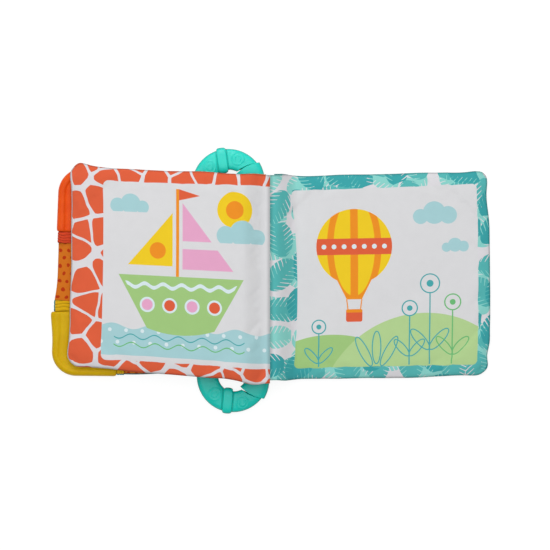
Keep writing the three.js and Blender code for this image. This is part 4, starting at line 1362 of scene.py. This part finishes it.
class CLOTHBOOK_OT_stage(Operator):
    """Adds the floor, the studio lights and the camera straight above the book"""

    bl_idname = "cloth_book.stage"
    bl_label = "Stage"

    def execute(self, context):
        stage, scene = context.scene.cloth_book.stage, context.scene
        scene.view_settings.view_transform = "Standard"
        camera = bpy.data.cameras.new("camera")
        camera.sensor_width = SENSOR_WIDTH
        camera.lens = SENSOR_WIDTH * (stage.distance - BOOK_HEIGHT) / stage.view
        above = bpy.data.objects.new("camera", camera)
        above.location = (*VIEW_MIDDLE, stage.distance)
        scene.collection.objects.link(above)
        scene.camera = above
        mesh = bpy.data.meshes.new("floor")
        reach, drop = 4.0, -0.0004
        corners = [(reach * x, reach * y, drop) for x, y in ((-1, -1), (1, -1), (1, 1), (-1, 1))]
        mesh.from_pydata(corners, [], [(0, 1, 2, 3)])
        mesh.materials.append(floor_finish())
        floor = bpy.data.objects.new("floor", mesh)
        scene.collection.objects.link(floor)
        for name, power, size, place in (
            ("key", stage.key, 0.9, (-0.15, 1.25, 1.25)),
            ("overhead", stage.overhead, 2.0, (-0.25, 0.3, 1.9)),
        ):
            light = bpy.data.lights.new(name, "AREA")
            light.energy, light.size = power, size
            lamp = bpy.data.objects.new(name, light)
            lamp.location = place
            aim = -lamp.location
            lamp.rotation_euler = aim.to_track_quat("-Z", "Y").to_euler()
            scene.collection.objects.link(lamp)
        world = bpy.data.worlds.new("studio")
        world.use_nodes = True
        background = world.node_tree.nodes["Background"]
        background.inputs["Color"].default_value = (1, 1, 1, 1)
        background.inputs["Strength"].default_value = stage.world
        scene.world = world
        return {"FINISHED"}


def floor_finish():
    """A pale floor that a camera sees as white where nothing shades it."""
    finish = Finish("floor_pale", {"Roughness": 0.9, "Specular IOR Level": 0.0})
    tree = finish.tree
    path = finish.node("ShaderNodeLightPath", {}, {})
    seen = path & path.output("Is Glossy Ray") & path.output("Is Transmission Ray")
    finish.colour(finish.mix(seen, (0.8, 0.8, 0.8), (0.2, 0.2, 0.2)))
    glow = tree.nodes.new("ShaderNodeEmission")
    glow.inputs["Strength"].default_value = 0.88
    both, pick = tree.nodes.new("ShaderNodeAddShader"), tree.nodes.new("ShaderNodeMixShader")
    tree.links.new(finish.shader.outputs["BSDF"], both.inputs[0])
    tree.links.new(glow.outputs[0], both.inputs[1])
    finish.put(pick.inputs["Fac"], seen)
    tree.links.new(finish.shader.outputs["BSDF"], pick.inputs[1])
    tree.links.new(both.outputs[0], pick.inputs[2])
    tree.links.new(pick.outputs[0], tree.nodes["Material Output"].inputs["Surface"])
    return finish.material


class CLOTHBOOK_OT_leaves(Operator):
    """Makes the padded cloth panels, wadding and film of the front cover, the turned page and the back"""

    bl_idname = "cloth_book.leaves"
    bl_label = "Padded leaves"

    def execute(self, context):
        book = context.scene.cloth_book
        colours, settings = book.colours, book.leaf
        fillings = {"film": film_finish(), "batting": batting_finish()}
        teal = plain_cloth_finish("cloth_teal", colours.teal, flat=True)
        reverse = plain_cloth_finish("cloth_white", colours.reverse, flat=True)
        looks = (
            (COVER, "front_cover", "cover_inner_fabric", dotted_finish(colours), "dotted_fabric",
             "cover_outer_fabric", teal, "teal_fabric"),
            (PAGE, "middle_leaf", "page_left_fabric", left_page_finish(colours), "printed_fabric",
             "page_reverse_fabric", reverse, "printed_fabric"),
            (BACK, "back_leaf", "back_inner_fabric", right_page_finish(colours), "printed_fabric",
             "back_outer_fabric", teal, "teal_fabric"),
        )
        for leaf, body, upper, upper_look, upper_slot, lower, lower_look, lower_slot in looks:
            puckers = seam_puckers(leaf, settings)
            cloth_panel(upper, leaf, True, settings, puckers, upper_look, body)
            cloth_panel(lower, leaf, False, settings, puckers, lower_look, body)
            filling(leaf, settings, puckers, fillings, body)
        return {"FINISHED"}


class CLOTHBOOK_OT_teethers(Operator):
    """Makes the two soft corner teethers of the front cover"""

    bl_idname = "cloth_book.teethers"
    bl_label = "Corner teethers"

    def execute(self, context):
        trim = context.scene.cloth_book.trim
        orange = silicone_finish("silicone_orange", trim.orange, trim.orange_deep)
        yellow = silicone_finish("silicone_yellow", trim.yellow, trim.yellow_deep)
        teether("orange_corner_teether", CORNERS["orange"], orange)
        teether("yellow_corner_teether", CORNERS["yellow"], yellow)
        return {"FINISHED"}


class CLOTHBOOK_OT_cuffs(Operator):
    """Makes the gathered cloth where each teether ends"""

    bl_idname = "cloth_book.cuffs"
    bl_label = "Gathered cuffs"

    def execute(self, context):
        trim = context.scene.cloth_book.trim
        depth = trim.gather / MM
        teal = context.scene.cloth_book.colours.teal
        orange = gathered_finish("cloth_orange_cuff", trim.orange_cuff, depth, None)
        yellow = gathered_finish("cloth_yellow_cuff", trim.yellow_cuff, depth, teal)
        for name, colour, on_side, folds, finish in (
            ("orange_cuff_side", "orange", True, 4, orange),
            ("orange_cuff_top", "orange", False, 3, orange),
            ("yellow_cuff_side", "yellow", True, 3, yellow),
            ("yellow_cuff_bottom", "yellow", False, 3, yellow),
        ):
            gathered_cuff(name, CORNERS[colour], on_side, folds, depth, finish)
        return {"FINISHED"}


class CLOTHBOOK_OT_rings(Operator):
    """Makes the two ring links"""

    bl_idname = "cloth_book.rings"
    bl_label = "Ring links"

    def execute(self, context):
        trim = context.scene.cloth_book.trim
        # The lower ring's plastic is a darker copy of the upper one's: painted shade
        plastics = {
            "top": plastic_finish("plastic_turquoise", trim.ring),
            "bottom": plastic_finish("plastic_turquoise_shaded", trim.ring_shaded),
        }
        for which, place in RINGS.items():
            ring_link("ring_link_" + which, place, which + "_ring", trim, plastics[which])
        return {"FINISHED"}


class CLOTHBOOK_OT_ribbons(Operator):
    """Makes the ribbon loops that hold the rings, and their sewn ends"""

    bl_idname = "cloth_book.ribbons"
    bl_label = "Ribbons"

    def execute(self, context):
        book = context.scene.cloth_book
        woven = plain_cloth_finish("ribbon_teal", book.colours.teal, nap=0.5)
        thread = plain_cloth_finish("thread_white", book.trim.thread, nap=0.3)
        for which, place in RINGS.items():
            ribbon_loop("ring_loop_" + which, place, which + "_loop", woven)
            ribbon_tab("ring_tab_" + which, place, woven)
            _, far, towards, _, high = loop_outline(place)
            half, height = 3.3, high - RIBBON["thickness"] - 0.05
            near, end = far + towards * 1.5, far + towards * 6.1
            box = ((-half, near), (half, near), (half, end), (-half, end), (-half, near), (half, end))
            path = [(place["x"] + x, y, height) for x, y in box]
            size = {"spacing": 1.65, "length": 1.4, "width": 0.35}
            stitch_row("tab_stitches_" + which, path, "front_cover", thread, **size)
        return {"FINISHED"}


class CLOTHBOOK_OT_spine(Operator):
    """Makes the strip of cloth under the fold and the stitches that hold the leaves to it"""

    bl_idname = "cloth_book.spine"
    bl_label = "Spine"

    def execute(self, context):
        book = context.scene.cloth_book
        teal = plain_cloth_finish("cloth_teal_spine", book.colours.teal)
        thread = plain_cloth_finish("thread_fold", book.trim.thread, nap=0.3)
        left, right = COVER.middle(SPINE_HALF), FOLD_HEIGHT - SPINE_EDGE - LEAF_GAP
        half_width, half_thick, inset, from_end, stitch = 2.7, 0.45, 3, 3.4, 0.7
        ends = (inset - COVER.bottom["spine"], COVER.top["spine"] - inset)
        turn = np.linspace(0, 2 * math.pi, 36, endpoint=False)
        a = fuller(np.cos(turn), 0.4) * half_width
        rings = []
        for y in np.linspace(*ends, 90):
            end = 1 - 0.5 * (1 - rounded(min(y - ends[0], ends[1] - y) / 0.8))
            b = fuller(np.sin(turn), 0.8) * half_thick * end
            sag = 0.05 * math.sin(y * 0.9) * (1 - (a / half_width) ** 2)
            z = mix(left, right, (a + half_width) / (2 * half_width)) + b - 0.02 + sag * (np.sin(turn) < 0)
            rings.append(np.stack([a, np.full(len(a), y), z], -1))
        points, faces = tube(rings)
        make_piece(
            "spine_strip", points, faces, teal, "front_cover", ["spine_strip"], sharp=60
        )
        height = (left + right) / 2 + half_thick + GAP + stitch
        path = [(0, ends[0] + from_end, height), (0, ends[1] - from_end, height)]
        stitch_row("spine_thread", path, "front_cover", thread, ["spine_thread"], spacing=3.3, length=2.9)
        return {"FINISHED"}


class CLOTHBOOK_PT_panel(Panel):
    """Lists the steps that dress the book and the values that they read"""

    bl_idname = "CLOTHBOOK_PT_panel"
    bl_label = "Cloth Book"
    bl_space_type = "VIEW_3D"
    bl_region_type = "UI"
    bl_category = "Cloth Book"

    def draw(self, context):
        for operator in OPERATORS:
            self.layout.operator(operator.bl_idname)
        book = context.scene.cloth_book
        for group in (book.colours, book.leaf, book.trim, book.stage):
            box = self.layout.box()
            for name in group.__annotations__:
                box.prop(group, name)


GROUPS = (PrintColours, LeafSettings, TrimSettings, StageSettings, BookSettings)
OPERATORS = (
    CLOTHBOOK_OT_stage, CLOTHBOOK_OT_leaves, CLOTHBOOK_OT_teethers, CLOTHBOOK_OT_cuffs, CLOTHBOOK_OT_rings,
    CLOTHBOOK_OT_ribbons, CLOTHBOOK_OT_spine,
)


def register():
    for each in (*GROUPS, *OPERATORS, CLOTHBOOK_PT_panel):
        bpy.utils.register_class(each)
    bpy.types.Scene.cloth_book = PointerProperty(type=BookSettings)


def unregister():
    del bpy.types.Scene.cloth_book
    for each in reversed((*GROUPS, *OPERATORS, CLOTHBOOK_PT_panel)):
        bpy.utils.unregister_class(each)


def main():
    register()
    for operator in OPERATORS:
        getattr(bpy.ops.cloth_book, operator.bl_idname.split(".")[1])()


if __name__ == "__main__":
    main()
